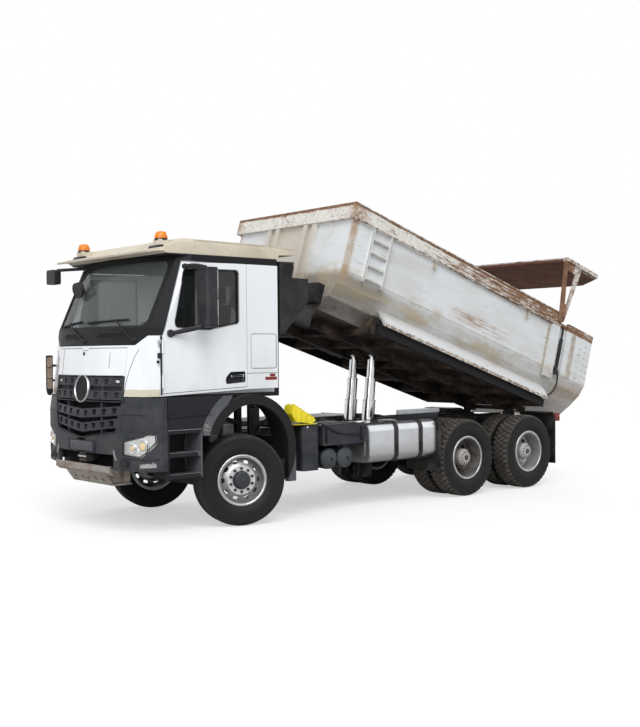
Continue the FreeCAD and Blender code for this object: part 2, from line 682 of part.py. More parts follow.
def screen_hole():
    hole = box(700, 2000, -SCREEN_HALF, SCREEN_HALF, SCREEN_LOW, SCREEN_TOP)
    return rounded(hole, 95, lambda edge: runs_along(edge, V(1, 0, 0)))


def flap_region(gap):
    half = CAB_HALF - 350 - gap
    return box(1100, 2000, -half, half, 1450, 2110 - gap)


def side_hatch():
    """Thin groove round the stowage hatch behind the left door and along the panel joint below it."""
    outer = rounded(box(-556, -176, CAB_HALF - 4, CAB_HALF + 4, 1852, 2262), 28,
                    lambda edge: runs_along(edge, V(0, 1, 0)))
    inner = rounded(box(-550, -182, CAB_HALF - 5, CAB_HALF + 5, 1858, 2256), 22,
                    lambda edge: runs_along(edge, V(0, 1, 0)))
    return [outer.cut(inner), box(CAB_REAR - 5, -115, CAB_HALF - 4, CAB_HALF + 4, 1793, 1799)]


def door_knuckles(radius, first, last):
    """Hinge barrels of the left door between two heights above each hinge's foot."""
    return [Part.makeCylinder(radius, last - first, V(DOOR_PIN_X, DOOR_PIN_Y, z + first))
            for z in DOOR_HINGES]


def flap_hinge_block(gap):
    return box(1250, 1379, -66 - gap, 66 + gap, FLAP_PIN_Z - 8 - gap, 2125)


def cab_shell():
    shell = cab_solid(0).cut(cab_solid(WALL))
    for side in (1, -1):
        y0, y1 = sorted((side * (CAB_HALF - WALL - 20), side * (CAB_HALF + 50)))
        shell = shell.cut(side_prism(DOOR_OUTLINE, y0, y1))
    door_side = door_knuckles(DOOR_KNUCKLE_R + 4, -2, 52)
    shell_side = door_knuckles(DOOR_KNUCKLE_R, -50.4, -0.4) + door_knuckles(DOOR_KNUCKLE_R, 50.4, 100.4)
    for piece in door_side:
        shell = shell.cut(both(piece))
    for piece in shell_side:
        lug = box(DOOR_PIN_X + 4, DOOR_PIN_X + 16, CAB_HALF - 32, CAB_HALF, piece.BoundBox.ZMin,
                  piece.BoundBox.ZMax)
        shell = shell.fuse(both(piece.fuse(lug)))
    shell = shell.cut(screen_hole())
    shell = shell.cut(both(side_prism(SILL_OUTLINE, CAB_HALF - WALL - 20, CAB_HALF + 50)))
    shell = shell.cut(side_hatch())
    shell = shell.cut(box(CAB_REAR - 10, CAB_REAR + WALL + 10, -620, 620, 2380, 2880))
    shell = shell.cut(flap_region(0))
    tunnel_room = box(-1000, 2000, -350, 350, 1500, 1700)
    hollow = box(CAB_REAR - 5, 1200, -350, 350, 1500, 1780)
    tunnel = box(CAB_REAR, 1150, -390, 390, CAB_LOW, 1820).cut(hollow)
    firewall = box(1095, 1155, 110 - CAB_HALF, CAB_HALF - 110, 1600, 2110)
    tunnel = tunnel.common(cab_solid(0))
    hinge = flap_hinge_block(0).common(box(1335, 1400, -100, 100, 2000, 2200))
    hinge = hinge.fuse(along_y(FLAP_PIN_X, FLAP_PIN_Z, 6, -90, 90))
    return join([shell.cut(tunnel_room), tunnel, firewall.common(cab_solid(10)), hinge])


def flap_solid(inset):
    """The nose where the flap is, carried on downward past the cab's own lower edge."""
    slope = NOSE_LEAN / (CAB_WAIST - CAB_LOW)
    front = NOSE_X + slope * (CAB_LOW - FLAP_LOW)
    return nose_solid(front, CAB_HALF, 1100, FLAP_LOW, CAB_WAIST, slope * (CAB_WAIST - FLAP_LOW), inset)


def front_flap():
    """Hinged front panel: smooth above, with a round blank and two toothed grille bars below."""
    hollow = moved(flap_solid(WALL), 0, 0, -60).fuse(flap_solid(WALL))
    skin = flap_solid(0).cut(hollow)
    whole = skin.common(flap_region(DOOR_GAP)).common(box(1160, 2000, -900, 900, FLAP_LOW, 2200))
    mouth = box(1160, 2000, -GRILLE_HALF, GRILLE_HALF, FLAP_LOW + 10, FLAP_GRILLE_TOP)
    thin = flap_solid(0).cut(moved(flap_solid(0), -26, 0, -1))
    bars = [grille_bar(thin, GRILLE_HALF + 5, z, z, 200, 8) for z in (1724, 1572)]
    panel = whole.cut(mouth)
    posts = both(box(1280, 1405, 395, 415, FLAP_LOW + 2, FLAP_GRILLE_TOP + 6).common(flap_solid(20)))
    blank = rod(V(1380, 0, 1640), V(1430, 0, 1640 + 50 * NOSE_LEAN / (CAB_WAIST - CAB_LOW)), 160)
    flap = join([panel, blank] + bars + posts)
    flap = flap.cut(box(1250, 1500, -72, 72, FLAP_PIN_Z - 14, 2200))
    return flap.cut(along_y(FLAP_PIN_X, FLAP_PIN_Z, 7, -95, 95))


def cab_roof():
    outline = [(-585, CAB_TOP), (930, CAB_TOP), (1010, 3190), (985, 3215), (730, 3345), (-520, 3330),
               (-900, 3300), (-900, 3225), (-640, 3215)]
    roof = side_prism(outline, 30 - CAB_HALF, CAB_HALF - 30)
    roof = rounded(roof, 55, lambda edge: edge.BoundBox.ZMin > 3230 and edge.BoundBox.YLength < 1)
    visor = side_prism([(950, 3195), (1010, 3190), (1180, 3165), (1190, 3185), (985, 3235), (950, 3235)],
                       -CAB_HALF + 90, CAB_HALF - 90)
    beacons = []
    for side in (1, -1):
        stand = side_prism([(830, 3270), (960, 3225), (960, 3330), (830, 3330)],
                           side * 900 - 70, side * 900 + 70)
        lamp = Part.makeCylinder(62, 92, V(895, side * 900, 3330))
        lamp = rounded(lamp, 26, lambda edge: edge.BoundBox.ZMin > 3400)
        beacons += [stand, lamp]
    return join([roof, visor] + beacons)


def cab_glass():
    skin = cab_solid(22).cut(cab_solid(34))
    screen = skin.common(screen_hole())
    rear = box(CAB_REAR + 22, CAB_REAR + 34, -620, 620, 2380, 2880)
    return Part.makeCompound([screen, rear])


def cab_door_space():
    doors = []
    for side in (1, -1):
        y0, y1 = sorted((side * (CAB_HALF - WALL - 25), side * (CAB_HALF + 50)))
        doors.append(box(-200, 1060, y0, y1, 1560, 3100))
    return Part.makeCompound(doors)


def cab_interior():
    dash = side_prism([(1095, 1830), (1095, 2200), (1330, 2200), (1330, 2290), (960, 2310), (850, 2180),
                       (900, 1950)], 80 - CAB_HALF, CAB_HALF - 80)
    dash = dash.common(cab_solid(WALL + 8)).cut(cab_door_space())
    column = rod(V(930, 500, 2060), V(745, 500, 2230), 38)
    wheel = Part.makeTorus(215, 17, V(735, 500, 2240), V(-0.74, 0, 0.68))
    spokes = [rod(V(735, 500, 2240), V(735, 500 + side * 205, 2240), 14) for side in (1, -1)]
    parts = [dash, column, wheel] + spokes
    seats = []
    for y in (520, -520):
        base = box(-60, 380, y - 115, y + 115, CAB_LOW + WALL, 1900)
        cushion = box(-100, 440, y - 250, y + 250, 1900, 2040)
        back = side_prism([(-120, 2030), (20, 2040), (-60, 2620), (-180, 2620)], y - 240, y + 240)
        head = side_prism([(-185, 2640), (-85, 2640), (-95, 2830), (-175, 2830)], y - 130, y + 130)
        post = box(-150, -110, y - 60, y + 60, 2610, 2660)
        seats.append(join([base, cushion, back, head, post]))
    return Part.makeCompound([join(parts)] + seats)


def door():
    skin = cab_solid(0).cut(cab_solid(WALL))
    panel = side_prism(inset_outline(DOOR_OUTLINE, DOOR_GAP), CAB_HALF - WALL - 15, CAB_HALF + 10)
    leaf_shape = skin.common(panel)
    leaf_shape = leaf_shape.cut(window_hole(900, 1300))
    recess = rounded(side_prism(HANDLE_OUTLINE, CAB_HALF - 38, CAB_HALF + 5), 18,
                     lambda edge: runs_along(edge, V(0, 1, 0)))
    leaf_shape = leaf_shape.cut(recess)
    grip = side_prism([(-90, 1762), (110, 1756), (110, 1776), (-90, 1786)], CAB_HALF - 24, CAB_HALF - 6)
    for piece in door_knuckles(DOOR_KNUCKLE_R + 4, -56, 106):
        leaf_shape = leaf_shape.cut(piece)
    hinge_strap = []
    for piece in door_knuckles(DOOR_KNUCKLE_R, 0, 50):
        hinge_strap.append(piece)
        hinge_strap.append(box(DOOR_PIN_X - 30, DOOR_PIN_X - 4, CAB_HALF - 22, CAB_HALF, piece.BoundBox.ZMin,
                               piece.BoundBox.ZMax))
    return join([leaf_shape, grip] + hinge_strap)


def door_glass():
    return window_hole(CAB_HALF - 34, CAB_HALF - 26)


def mirror():
    """Big left mirror housing on two arms from the front edge of the door."""
    housing = box(500, 660, CAB_HALF + 85, CAB_HALF + 320, 2330, 3000)
    housing = rounded(housing, 45, lambda edge: runs_along(edge, V(0, 0, 1)))
    outer = CAB_HALF + 180
    high_arm = rod(V(735, CAB_HALF - 18, 3020), V(590, outer, 2990), 17)
    low_arm = rod(V(950, CAB_HALF - 5, 2262), V(640, outer, 2345), 19)
    foot = side_prism([(900, 2235), (985, 2235), (985, 2290), (925, 2290)], CAB_HALF, CAB_HALF + 30)
    return join([housing, high_arm, low_arm, foot]).cut(cab_solid(0))


def front_mirrors():
    """Kerb mirror and ramp mirror on arms at the right end of the windscreen's top."""
    arm = rod(V(850, -860, 3118), V(1120, -1190, 3105), 20)
    kerb = rounded(box(1075, 1165, -1400, -1180, 2930, 3115), 30, lambda edge: runs_along(edge, V(1, 0, 0)))
    brace = rod(V(900, -700, 3118), V(1165, -560, 2880), 18)
    ramp = rod(V(1130, -560, 2830), V(1185, -555, 2815), 95)
    return Part.makeCompound([join([arm, kerb]).cut(cab_solid(0)), join([brace, ramp]).cut(cab_solid(0))])


# Body

def half_section(inset, top):
    """One half of the body's cross section, from the middle out, inset toward its inside."""
    return [(0, -50 + inset), (PANEL_W - 340 - 0.41 * inset, -50 + inset),
            (PANEL_W - 155 - 0.85 * inset, 125 + 0.55 * inset), (PANEL_W - 45 - inset, 300 + 0.3 * inset),
            (PANEL_W - inset, 470), (PANEL_W - inset, top)]


def section_prism(inset, top, u0, u1):
    half = half_section(inset, top)
    outline = half + [(-y, w) for y, w in reversed(half)][:-1]
    return cross_prism(outline, u0, u1)


def tail_section(inset, top, u0, u1):
    half = half_section(inset, top)[:3]
    half += [(HALF_W - 60 - inset, 290 + 0.3 * inset), (HALF_W - inset, 450), (HALF_W - inset, top)]
    outline = half + [(-y, w) for y, w in reversed(half)][:-1]
    return cross_prism(outline, u0, u1)


def bed_shell():
    main = section_prism(0, RIM_LOW, 60, FRONT_U).cut(section_prism(SHEET, RIM_TOP + 10, 0, FRONT_U - SHEET))
    tail = tail_section(0, TAIL_TOP - 110, TAIL_U, 66)
    tail = tail.cut(tail_section(SHEET, TAIL_TOP + 100, TAIL_U - 5, 70))
    step = tail_section(0, TAIL_TOP - 110, 60, 66).cut(section_prism(SHEET, RIM_TOP, 50, 80))
    ramp = side_prism([(700, -38), (TAIL_U, 330), (TAIL_U, 318), (650, -38)], -1400, 1400)
    inside = tail_section(SHEET - 1, TAIL_TOP, TAIL_U, 68).fuse(section_prism(SHEET - 1, 1000, 60, 800))
    ramp = ramp.common(inside)
    sill = tail_section(0, TAIL_TOP - 110, TAIL_U, TAIL_U + SHEET)
    wide = HALF_W - 18
    opening = cross_prism([(-790, 350), (790, 350), (wide, 610), (wide, 1500), (-wide, 1500), (-wide, 610)],
                          TAIL_U - 5, TAIL_U + SHEET + 5)
    sill = sill.cut(opening)
    posts = both(box(255, 440, PANEL_W, HALF_W, 330, RIM_LOW))
    skirts = both(cross_prism([(PANEL_W - 117, 190), (PANEL_W - 101, 216), (HALF_W, 44), (HALF_W, 0),
                               (HALF_W - 12, 0), (HALF_W - 12, 30)], 252, FRONT_U - 830))
    ribs = []
    for y in (-480, -300, 300, 480):
        ribs.append(box(FRONT_U, FRONT_U + 50, y - 40, y + 40, 150, RIM_LOW))
    ladder_u = FRONT_U - 690
    ladder = [box(u, u + 25, PANEL_W, HALF_W, 420, RIM_LOW) for u in (ladder_u, ladder_u + 330)]
    for rung in range(4):
        low = 470 + 175 * rung
        ladder.append(box(ladder_u + 20, ladder_u + 335, HALF_W - 35, HALF_W - 5, low, low + 30))
    return tipped(join([main, tail, step, ramp, sill] + posts + skirts + ribs + ladder))


def bed_rim():
    side = box(255, FRONT_U - 70, HALF_W - 72, HALF_W, RIM_LOW, RIM_TOP)
    side = side.fuse(box(TAIL_U, 60, PANEL_W - 9, HALF_W + 5, TAIL_TOP - 110, TAIL_TOP))
    side = side.fuse(box(60, 255, PANEL_W - 9, PANEL_W, RIM_LOW, TAIL_TOP - 40))
    front = box(FRONT_U - 70, FRONT_U + 60, -HALF_W, HALF_W, RIM_LOW, RIM_TOP)
    corner = box(140, 255, PANEL_W - 9, HALF_W, RIM_LOW + 20, RIM_LOW + 60)
    pin = along_y(GATE_U, GATE_W, 32, HALF_W - 10, HALF_W + 50)
    return tipped(join(both(side.fuse([pin, corner])) + [front]))


def bed_frame():
    parts = both(box(HINGE_U - 40, FRONT_U - 370, 350, 428, -165, -50))
    outer = HALF_W - 90
    parts += both(box(252, FRONT_U - 830, outer, outer + 40, -118, -4))
    for u in (300, 950, 1600, 2250, FRONT_U - 1420, FRONT_U - 870):
        parts.append(box(u, u + 80, -outer, outer, -128, -50))
        parts += both(cross_prism([(PANEL_W - 339, -51), (outer, -51), (outer, -5), (outer + 30, -5),
                                   (outer + 30, 20), (PANEL_W - 130, 125)], u, u + 80))
    parts += both(box(-150, 170, 470, 540, HINGE_W, -50))
    lug = side_prism([(HINGE_U - 90, -50), (HINGE_U + 90, -50), (HINGE_U + 50, HINGE_W - 50),
                      (HINGE_U - 50, HINGE_W - 50)], 350, 428)
    pin = along_y(HINGE_U, HINGE_W, HINGE_PIN, -490, 490)
    eye_u = 2952
    cheeks = []
    for y in (HOIST_Y - 66, HOIST_Y + 46):
        cheeks += both(box(eye_u - 170, eye_u + 110, y, y + 20, -150, -50))
    beam = box(eye_u - 210, eye_u - 170, -350, 350, -150, -50)
    return tipped(join(parts + both(lug) + [pin, beam] + cheeks))


def front_blocks():
    return tipped(Part.makeCompound(both(box(FRONT_U, FRONT_U + 115, 640, 930, 20, 270))))


def gate_plate():
    half = [(420, 0), (420, HALF_W + 34), (-380, HALF_W + 34), (GATE_REAR_U, 820), (GATE_REAR_U, 0)]
    outline = half + [(u, -y) for u, y in reversed(half)][1:-1]
    sheet = flat_prism(outline, GATE_IN, GATE_IN + 14)
    inner = [(360, 0), (360, HALF_W - 20), (-345, HALF_W - 20), (GATE_REAR_U + 60, 790),
             (GATE_REAR_U + 60, 0)]
    inner_outline = inner + [(u, -y) for u, y in reversed(inner)][1:-1]
    edge = flat_prism(outline, GATE_IN + 14, GATE_TOP_W)
    edge = edge.cut(flat_prism(inner_outline, GATE_IN, GATE_TOP_W + 5))
    ribs = [box(GATE_REAR_U + 55, 365, y - 30, y + 30, GATE_IN + 14, GATE_TOP_W) for y in (-620, 0, 620)]
    return tipped(join([sheet, edge] + ribs))


def gate_arms():
    inner, outer = HALF_W + 12, HALF_W + 34
    arm = side_prism([(GATE_U - 62, GATE_W - 20), (GATE_U + 62, GATE_W - 20), (470, GATE_IN - 115),
                      (470, GATE_IN), (60, GATE_IN), (60, GATE_IN - 95)], inner, outer)
    arm = arm.cut(side_prism([(250, 1500), (300, 1500), (385, GATE_IN - 135), (170, GATE_IN - 135)],
                             inner - 5, outer + 5))
    boss = along_y(GATE_U, GATE_W, 68, inner, outer)
    arm = arm.fuse(boss).cut(along_y(GATE_U, GATE_W, 33, inner - 50, outer + 50))
    gusset = box(60, 420, outer, outer + 26, GATE_IN - 14, GATE_IN)
    return tipped(Part.makeCompound(both(join([arm, gusset]))))


def gate_rams():
    tube = Part.makeCylinder(26, 560, V(160, HALF_W - 17, 420))
    piston = Part.makeCylinder(15, 170, V(160, HALF_W - 17, 975))
    foot = box(130, 190, PANEL_W, HALF_W - 25, 472, 530)
    return tipped(Part.makeCompound(both(join([tube, piston, foot]))))


# Hoist

def tube_with_gland(outer, inner, lip, low, high):
    """A hydraulic tube: a wide bore and a narrow gland at its top."""
    tube = Part.makeCylinder(outer, high - low, V(0, 0, low))
    bore = Part.makeCylinder(inner, high - low - 20, V(0, 0, low))
    gland = Part.makeCylinder(lip, 60, V(0, 0, high - 40))
    return tube.cut(bore.fuse(gland))


def barrel_pair():
    parts = []
    for side in (1, -1):
        y = side * HOIST_Y
        tube = tube_with_gland(104, BORES[0], STAGES[0] + 1, HOIST_LOW, HOIST_TOP)
        foot = Part.makeCylinder(104, 14, V(0, 0, HOIST_LOW))
        pin = rod(V(0, y + side * 98, 0), V(0, side * 349, 0), 35)
        parts.append(moved(tube.fuse(foot), 0, y, 0).fuse(pin))
    yoke = box(-40, 40, -95, 95, -40, 40)
    return leaned(join(parts + [yoke]))


def stage_pair(number):
    parts = []
    low = HOIST_LOW + 16 + number * STAGE_OUT
    high = HOIST_TOP + number * (STAGE_OUT + 18)
    tube = tube_with_gland(STAGES[number - 1], BORES[number], STAGES[number] + 1, low, high)
    ring = Part.makeCylinder(BORES[number - 1] - 1, 24, V(0, 0, low)).cut(
        Part.makeCylinder(BORES[number], 30, V(0, 0, low - 2)))
    collar = Part.makeCylinder(STAGES[number - 1] + 5, 12, V(0, 0, high - 12)).cut(
        Part.makeCylinder(STAGES[number] + 1, 30, V(0, 0, high - 20)))
    stage = join([tube, ring, collar])
    for y in (HOIST_Y, -HOIST_Y):
        parts.append(moved(stage, 0, y, 0))
    return leaned(Part.makeCompound(parts))


def rod_pair():
    parts = []
    low = HOIST_LOW + 20 + 3 * STAGE_OUT
    shaft = Part.makeCylinder(STAGES[2], EYE_T - 70 - low, V(0, 0, low))
    ring = Part.makeCylinder(BORES[2] - 1, 24, V(0, 0, low))
    neck = Part.makeCylinder(30, 80, V(0, 0, EYE_T - 75))
    eye = along_y(0, EYE_T, 34, -38, 38)
    whole = join([shaft, ring, neck, eye])
    for y in (HOIST_Y, -HOIST_Y):
        parts.append(moved(whole, 0, y, 0))
    return leaned(Part.makeCompound(parts))


def nodes():
    left_tyre = tyre(TYRE_W)
    twin_tyres = Part.makeCompound([moved(tyre(DUAL_W), 0, y, 0) for y in (DUAL_OUT_Y, DUAL_IN_Y)])
    twin_rims = dual_rims()
    glass = door_glass()
    left_door = door()
    found = {
        "frame": frame(), "tow_jaw": tow_jaw(), "front_axle": front_axle(), "middle_axle": drive_axle(MID_X),
        "rear_axle": drive_axle(REAR_X), "springs": springs(), "drivetrain": drivetrain(),
        "fuel_tank": fuel_tank(), "air_tanks": air_tanks(), "side_boxes": side_boxes(),
        "air_intake": intake(),
        "bumper": bumper(), "headlamps": headlamps(), "skid_plate": skid_plate(),
        "front_mudguards": front_mudguards(), "rear_mudguards": rear_mudguards(), "rear_lamps": rear_lamps(),
        "wheel_chocks": chocks(), "cab_shell": cab_shell(), "cab_roof": cab_roof(), "cab_glass": cab_glass(),
        "cab_interior": cab_interior(), "front_flap": front_flap(),
        "door_left": left_door, "door_right": other_side(left_door),
        "door_glass_left": glass, "door_glass_right": other_side(glass),
        "mirror_left": mirror(), "mirror_right": other_side(mirror()), "front_mirrors": front_mirrors(),
        "bed_shell": bed_shell(), "bed_rim": bed_rim(), "bed_frame": bed_frame(),
        "bed_front_blocks": front_blocks(),
        "gate_plate": gate_plate(), "gate_arms": gate_arms(), "gate_rams": gate_rams(),
        "hoist_barrels": barrel_pair(), "hoist_stage_one": stage_pair(1),
        "hoist_stage_two": stage_pair(2), "hoist_rods": rod_pair(),
        "knuckle_left": steered(knuckle()), "knuckle_right": steered_right(knuckle()),
        "tyre_front_left": steered(left_tyre), "tyre_front_right": steered_right(left_tyre),
        "rim_front_left": steered(front_rim()), "rim_front_right": steered_right(front_rim()),
    }
    for name, x in (("middle", MID_X), ("rear", REAR_X)):
        found["tyres_" + name + "_left"] = moved(twin_tyres, x, 0, TYRE_R)
        found["tyres_" + name + "_right"] = moved(other_side(twin_tyres), x, 0, TYRE_R)
        found["rims_" + name + "_left"] = moved(twin_rims, x, 0, TYRE_R)
        found["rims_" + name + "_right"] = moved(other_side(twin_rims), x, 0, TYRE_R)
    return found


def main():
    os.makedirs("parts", exist_ok=True)
    for name, shape in nodes().items():
        moved(shape, -ORIGIN_X, 0, 0).exportStep("parts/" + name + ".step")


main()
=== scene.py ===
import copy
import math

import bmesh
import bpy
from mathutils import Matrix, Vector


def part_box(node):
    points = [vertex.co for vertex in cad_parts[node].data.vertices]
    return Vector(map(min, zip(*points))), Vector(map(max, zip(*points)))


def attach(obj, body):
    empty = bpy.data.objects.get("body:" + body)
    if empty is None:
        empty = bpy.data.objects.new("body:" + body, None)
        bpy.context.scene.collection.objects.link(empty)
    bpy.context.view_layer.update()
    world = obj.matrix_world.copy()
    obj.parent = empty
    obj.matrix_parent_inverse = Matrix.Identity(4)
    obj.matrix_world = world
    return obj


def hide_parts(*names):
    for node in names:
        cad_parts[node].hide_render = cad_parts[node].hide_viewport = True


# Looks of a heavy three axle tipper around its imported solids.
# Lengths are metres in the part's own frame: X forward, Y to the left, Z up from the ground.

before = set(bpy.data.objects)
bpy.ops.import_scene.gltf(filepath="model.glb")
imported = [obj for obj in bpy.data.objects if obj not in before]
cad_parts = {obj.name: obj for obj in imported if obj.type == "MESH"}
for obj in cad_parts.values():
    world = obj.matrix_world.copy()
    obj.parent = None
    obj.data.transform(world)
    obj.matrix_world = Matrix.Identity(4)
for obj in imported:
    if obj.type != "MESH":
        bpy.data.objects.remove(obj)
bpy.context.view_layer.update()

# Lengths along the truck are counted from a line 3.900 ahead of the middle axle
MIDDLE_X = -3.900
WHEEL_LOW, WHEEL_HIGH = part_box("rims_middle_left")
AXLE_X = (WHEEL_LOW.x + WHEEL_HIGH.x) / 2 - MIDDLE_X

# Wheels
FRONT_X = -0.100
REAR_X = -5.250
LUGS = 44
TYRE_R = 0.540
RIM_R = 0.290
FRONT_TYRE_W = 0.314
DUAL_TYRE_W = 0.302
KINGPIN_Y = 0.930
FRONT_TRACK_Y = 1.030
STEER = math.radians(18)
DUAL_OUT_Y = 1.092
DUAL_IN_Y = 0.742
DUAL_Y = (DUAL_OUT_Y + DUAL_IN_Y) / 2

# Tipped body
TIP = math.radians(17.66)
BODY_X = -5.900
BODY_Z = 1.220
PANEL_Y = 1.205

# Cab
CAB_HALF = 1.150
CAB_LOW = 1.560
NOSE_X = 1.440
NOSE_LEAN = 0.085
WAIST = 2.330

# Directions and sides
AHEAD, LEFT, UP = (1, 0, 0), (0, 1, 0), (0, 0, 1)
SIDES = ((1, "left"), (-1, "right"))

# Colours
CAB_COLOUR = (0.80, 0.83, 0.87)
FILM = (0.50, 0.47, 0.42)
DUST = (0.36, 0.33, 0.28)
RUST = (0.17, 0.075, 0.035)
RUST_LIGHT = (0.36, 0.19, 0.10)
BLACK = (0.012, 0.012, 0.014)
AMBER = (0.80, 0.24, 0.02)


def at(x, y, z):
    """A point given from the front axle's middle, in the part's frame."""
    return Vector((x + AXLE_X, y, z))


# Node materials. A place is the location and rotation of the frame in which lengths are given.

TRUCK_PLACE = ((AXLE_X, 0, 0), (0, 0, 0))
BODY_PLACE = ((BODY_X + AXLE_X, 0, BODY_Z), (0, -TIP, 0))


def feed(source, target):
    """Gives a socket a value: what another node makes, a colour or a number."""
    if isinstance(source, Value):
        source.tree.links.new(source.socket, target)
    elif isinstance(source, tuple):
        target.default_value = (*source, 1.0)
    else:
        target.default_value = source


class Value:
    """A number or colour made by a node. Sums with it add further nodes."""

    def __init__(self, tree, socket):
        self.tree = tree
        self.socket = socket

    def math(self, operation, other=0.0):
        made = self.tree.nodes.new("ShaderNodeMath")
        made.operation = operation
        feed(self, made.inputs[0])
        feed(other, made.inputs[1])
        return Value(self.tree, made.outputs[0])

    def __add__(self, other):
        return self.math("ADD", other)

    def __sub__(self, other):
        return self.math("SUBTRACT", other)

    def __mul__(self, other):
        return self.math("MULTIPLY", other)

    def __abs__(self):
        return self.math("ABSOLUTE")

    def ramp(self, low, high, out_low=0.0, out_high=1.0):
        """Goes from one output to the other as the value goes from low to high."""
        made = self.tree.nodes.new("ShaderNodeMapRange")
        made.clamp = True
        for number, part in enumerate((self, low, high, out_low, out_high)):
            feed(part, made.inputs[number])
        return Value(self.tree, made.outputs[0])


def most(found, *others):
    """The greatest of the values."""
    for other in others:
        found = found.math("MAXIMUM", other)
    return found


def distance(first, second):
    """How far a point lies from the middle, given its two lengths from there."""
    return (first * first + second * second).math("SQRT")


def blend(share, first, second):
    """The first colour where the share is nothing and the second where it is one."""
    made = share.tree.nodes.new("ShaderNodeMix")
    made.data_type = "RGBA"
    feed(share, made.inputs["Factor"])
    feed(first, made.inputs[6])
    feed(second, made.inputs[7])
    return Value(share.tree, made.outputs[2])


class Paint:
    """A material under construction, with the coordinates of the solid seen from its place."""

    def __init__(self, name, colour, roughness, metallic=0.0, coat=0.0, specular=0.5, place=TRUCK_PLACE):
        self.material = bpy.data.materials.new(name)
        self.material.use_nodes = True
        self.tree = self.material.node_tree
        self.inputs = self.tree.nodes["Principled BSDF"].inputs
        for socket, value in (("Base Color", colour), ("Roughness", roughness), ("Metallic", metallic),
                              ("Coat Weight", coat), ("Coat Roughness", 0.08),
                              ("Specular IOR Level", specular)):
            feed(value, self.inputs[socket])
        mapping = self.tree.nodes.new("ShaderNodeMapping")
        mapping.vector_type = "TEXTURE"
        mapping.inputs["Location"].default_value, mapping.inputs["Rotation"].default_value = place
        solid = self.tree.nodes.new("ShaderNodeTexCoord").outputs["Object"]
        self.tree.links.new(solid, mapping.inputs["Vector"])
        self.spot = Value(self.tree, mapping.outputs["Vector"])
        split = self.tree.nodes.new("ShaderNodeSeparateXYZ")
        feed(self.spot, split.inputs[0])
        self.x, self.y, self.z = [Value(self.tree, socket) for socket in split.outputs]
        self.normal = None

    def noise(self, scale, detail=5.0, stretch=(1, 1, 1), rough=0.6):
        mapping = self.tree.nodes.new("ShaderNodeMapping")
        mapping.inputs["Scale"].default_value = stretch
        feed(self.spot, mapping.inputs["Vector"])
        made = self.tree.nodes.new("ShaderNodeTexNoise")
        feed(Value(self.tree, mapping.outputs["Vector"]), made.inputs["Vector"])
        for socket, value in (("Scale", scale), ("Detail", detail), ("Roughness", rough)):
            feed(value, made.inputs[socket])
        return Value(self.tree, made.outputs[0])

    def colour(self, source):
        feed(source, self.inputs["Base Color"])

    def rough(self, source):
        feed(source, self.inputs["Roughness"])

    def metal(self, source):
        feed(source, self.inputs["Metallic"])

    def dull(self, mask):
        """Takes the clear coat and the shine away where the mask is one."""
        feed(mask.ramp(0, 1, 0.5, 0.0), self.inputs["Coat Weight"])
        feed(mask.ramp(0, 1, 0.5, 0.16), self.inputs["Specular IOR Level"])

    def bump(self, height, depth, strength=1.0):
        """Adds relief on top of the relief that is there."""
        made = self.tree.nodes.new("ShaderNodeBump")
        feed(strength, made.inputs["Strength"])
        feed(depth, made.inputs["Distance"])
        feed(height, made.inputs["Height"])
        if self.normal:
            feed(self.normal, made.inputs["Normal"])
        self.normal = Value(self.tree, made.outputs[0])
        feed(self.normal, self.inputs["Normal"])


def cab_white():
    """Glossy white paint, the black surround of the windscreen, faded lower strips and hatch seams."""
    paint = Paint("cab_white", CAB_COLOUR, 0.25, coat=0.5)
    x, y, z = paint.x, abs(paint.y), paint.z
    film = paint.noise(3.0, stretch=(1, 1, 0.4))
    dirt = film.ramp(0.42, 0.75) * z.ramp(2.4, 1.5, 0.08, 0.45)
    clean = blend(dirt, CAB_COLOUR, FILM)
    # Sun faded strip along the foot of each corner panel
    strip = z.ramp(1.642, 1.638) * y.ramp(0.790, 0.800) * x.ramp(1.080, 1.086)
    clean = blend(strip, clean, (0.56, 0.52, 0.42))
    # Seams of the stowage hatch in the cab's side: a frame with rounded corners and a line below it
    over_x = most(abs(x + 0.366) - 0.160, 0.0)
    over_z = most(abs(z - 2.057) - 0.175, 0.0)
    frame_line = abs(distance(over_x, over_z) - 0.030).ramp(0.0045, 0.003)
    level_line = abs(z - 1.796).ramp(0.0045, 0.003)
    side = y.ramp(1.100, 1.110) * x.ramp(-0.116, -0.120)
    clean = blend(most(frame_line, level_line) * side, clean, (0.10, 0.105, 0.11))
    # The black surround: above the cowl's curved edge, in front of the door's slanted edge, or under the roof
    above = (z - y.ramp(0.90, 1.06, 2.132, 2.236)).ramp(0.0, 0.003)
    pillar = (x + z * 0.3295).ramp(1.779, 1.782) * above
    black = most(pillar, z.ramp(3.078, 3.082))
    paint.colour(blend(black, clean, (0.012, 0.0125, 0.014)))
    paint.dull(black)
    paint.rough(most(black.ramp(0, 1, 0.22, 0.5), dirt.ramp(0, 1, 0.2, 0.55)))
    paint.bump(paint.noise(220.0, detail=2.0) * z.ramp(2.05, 1.56), 0.0004)
    return paint.material


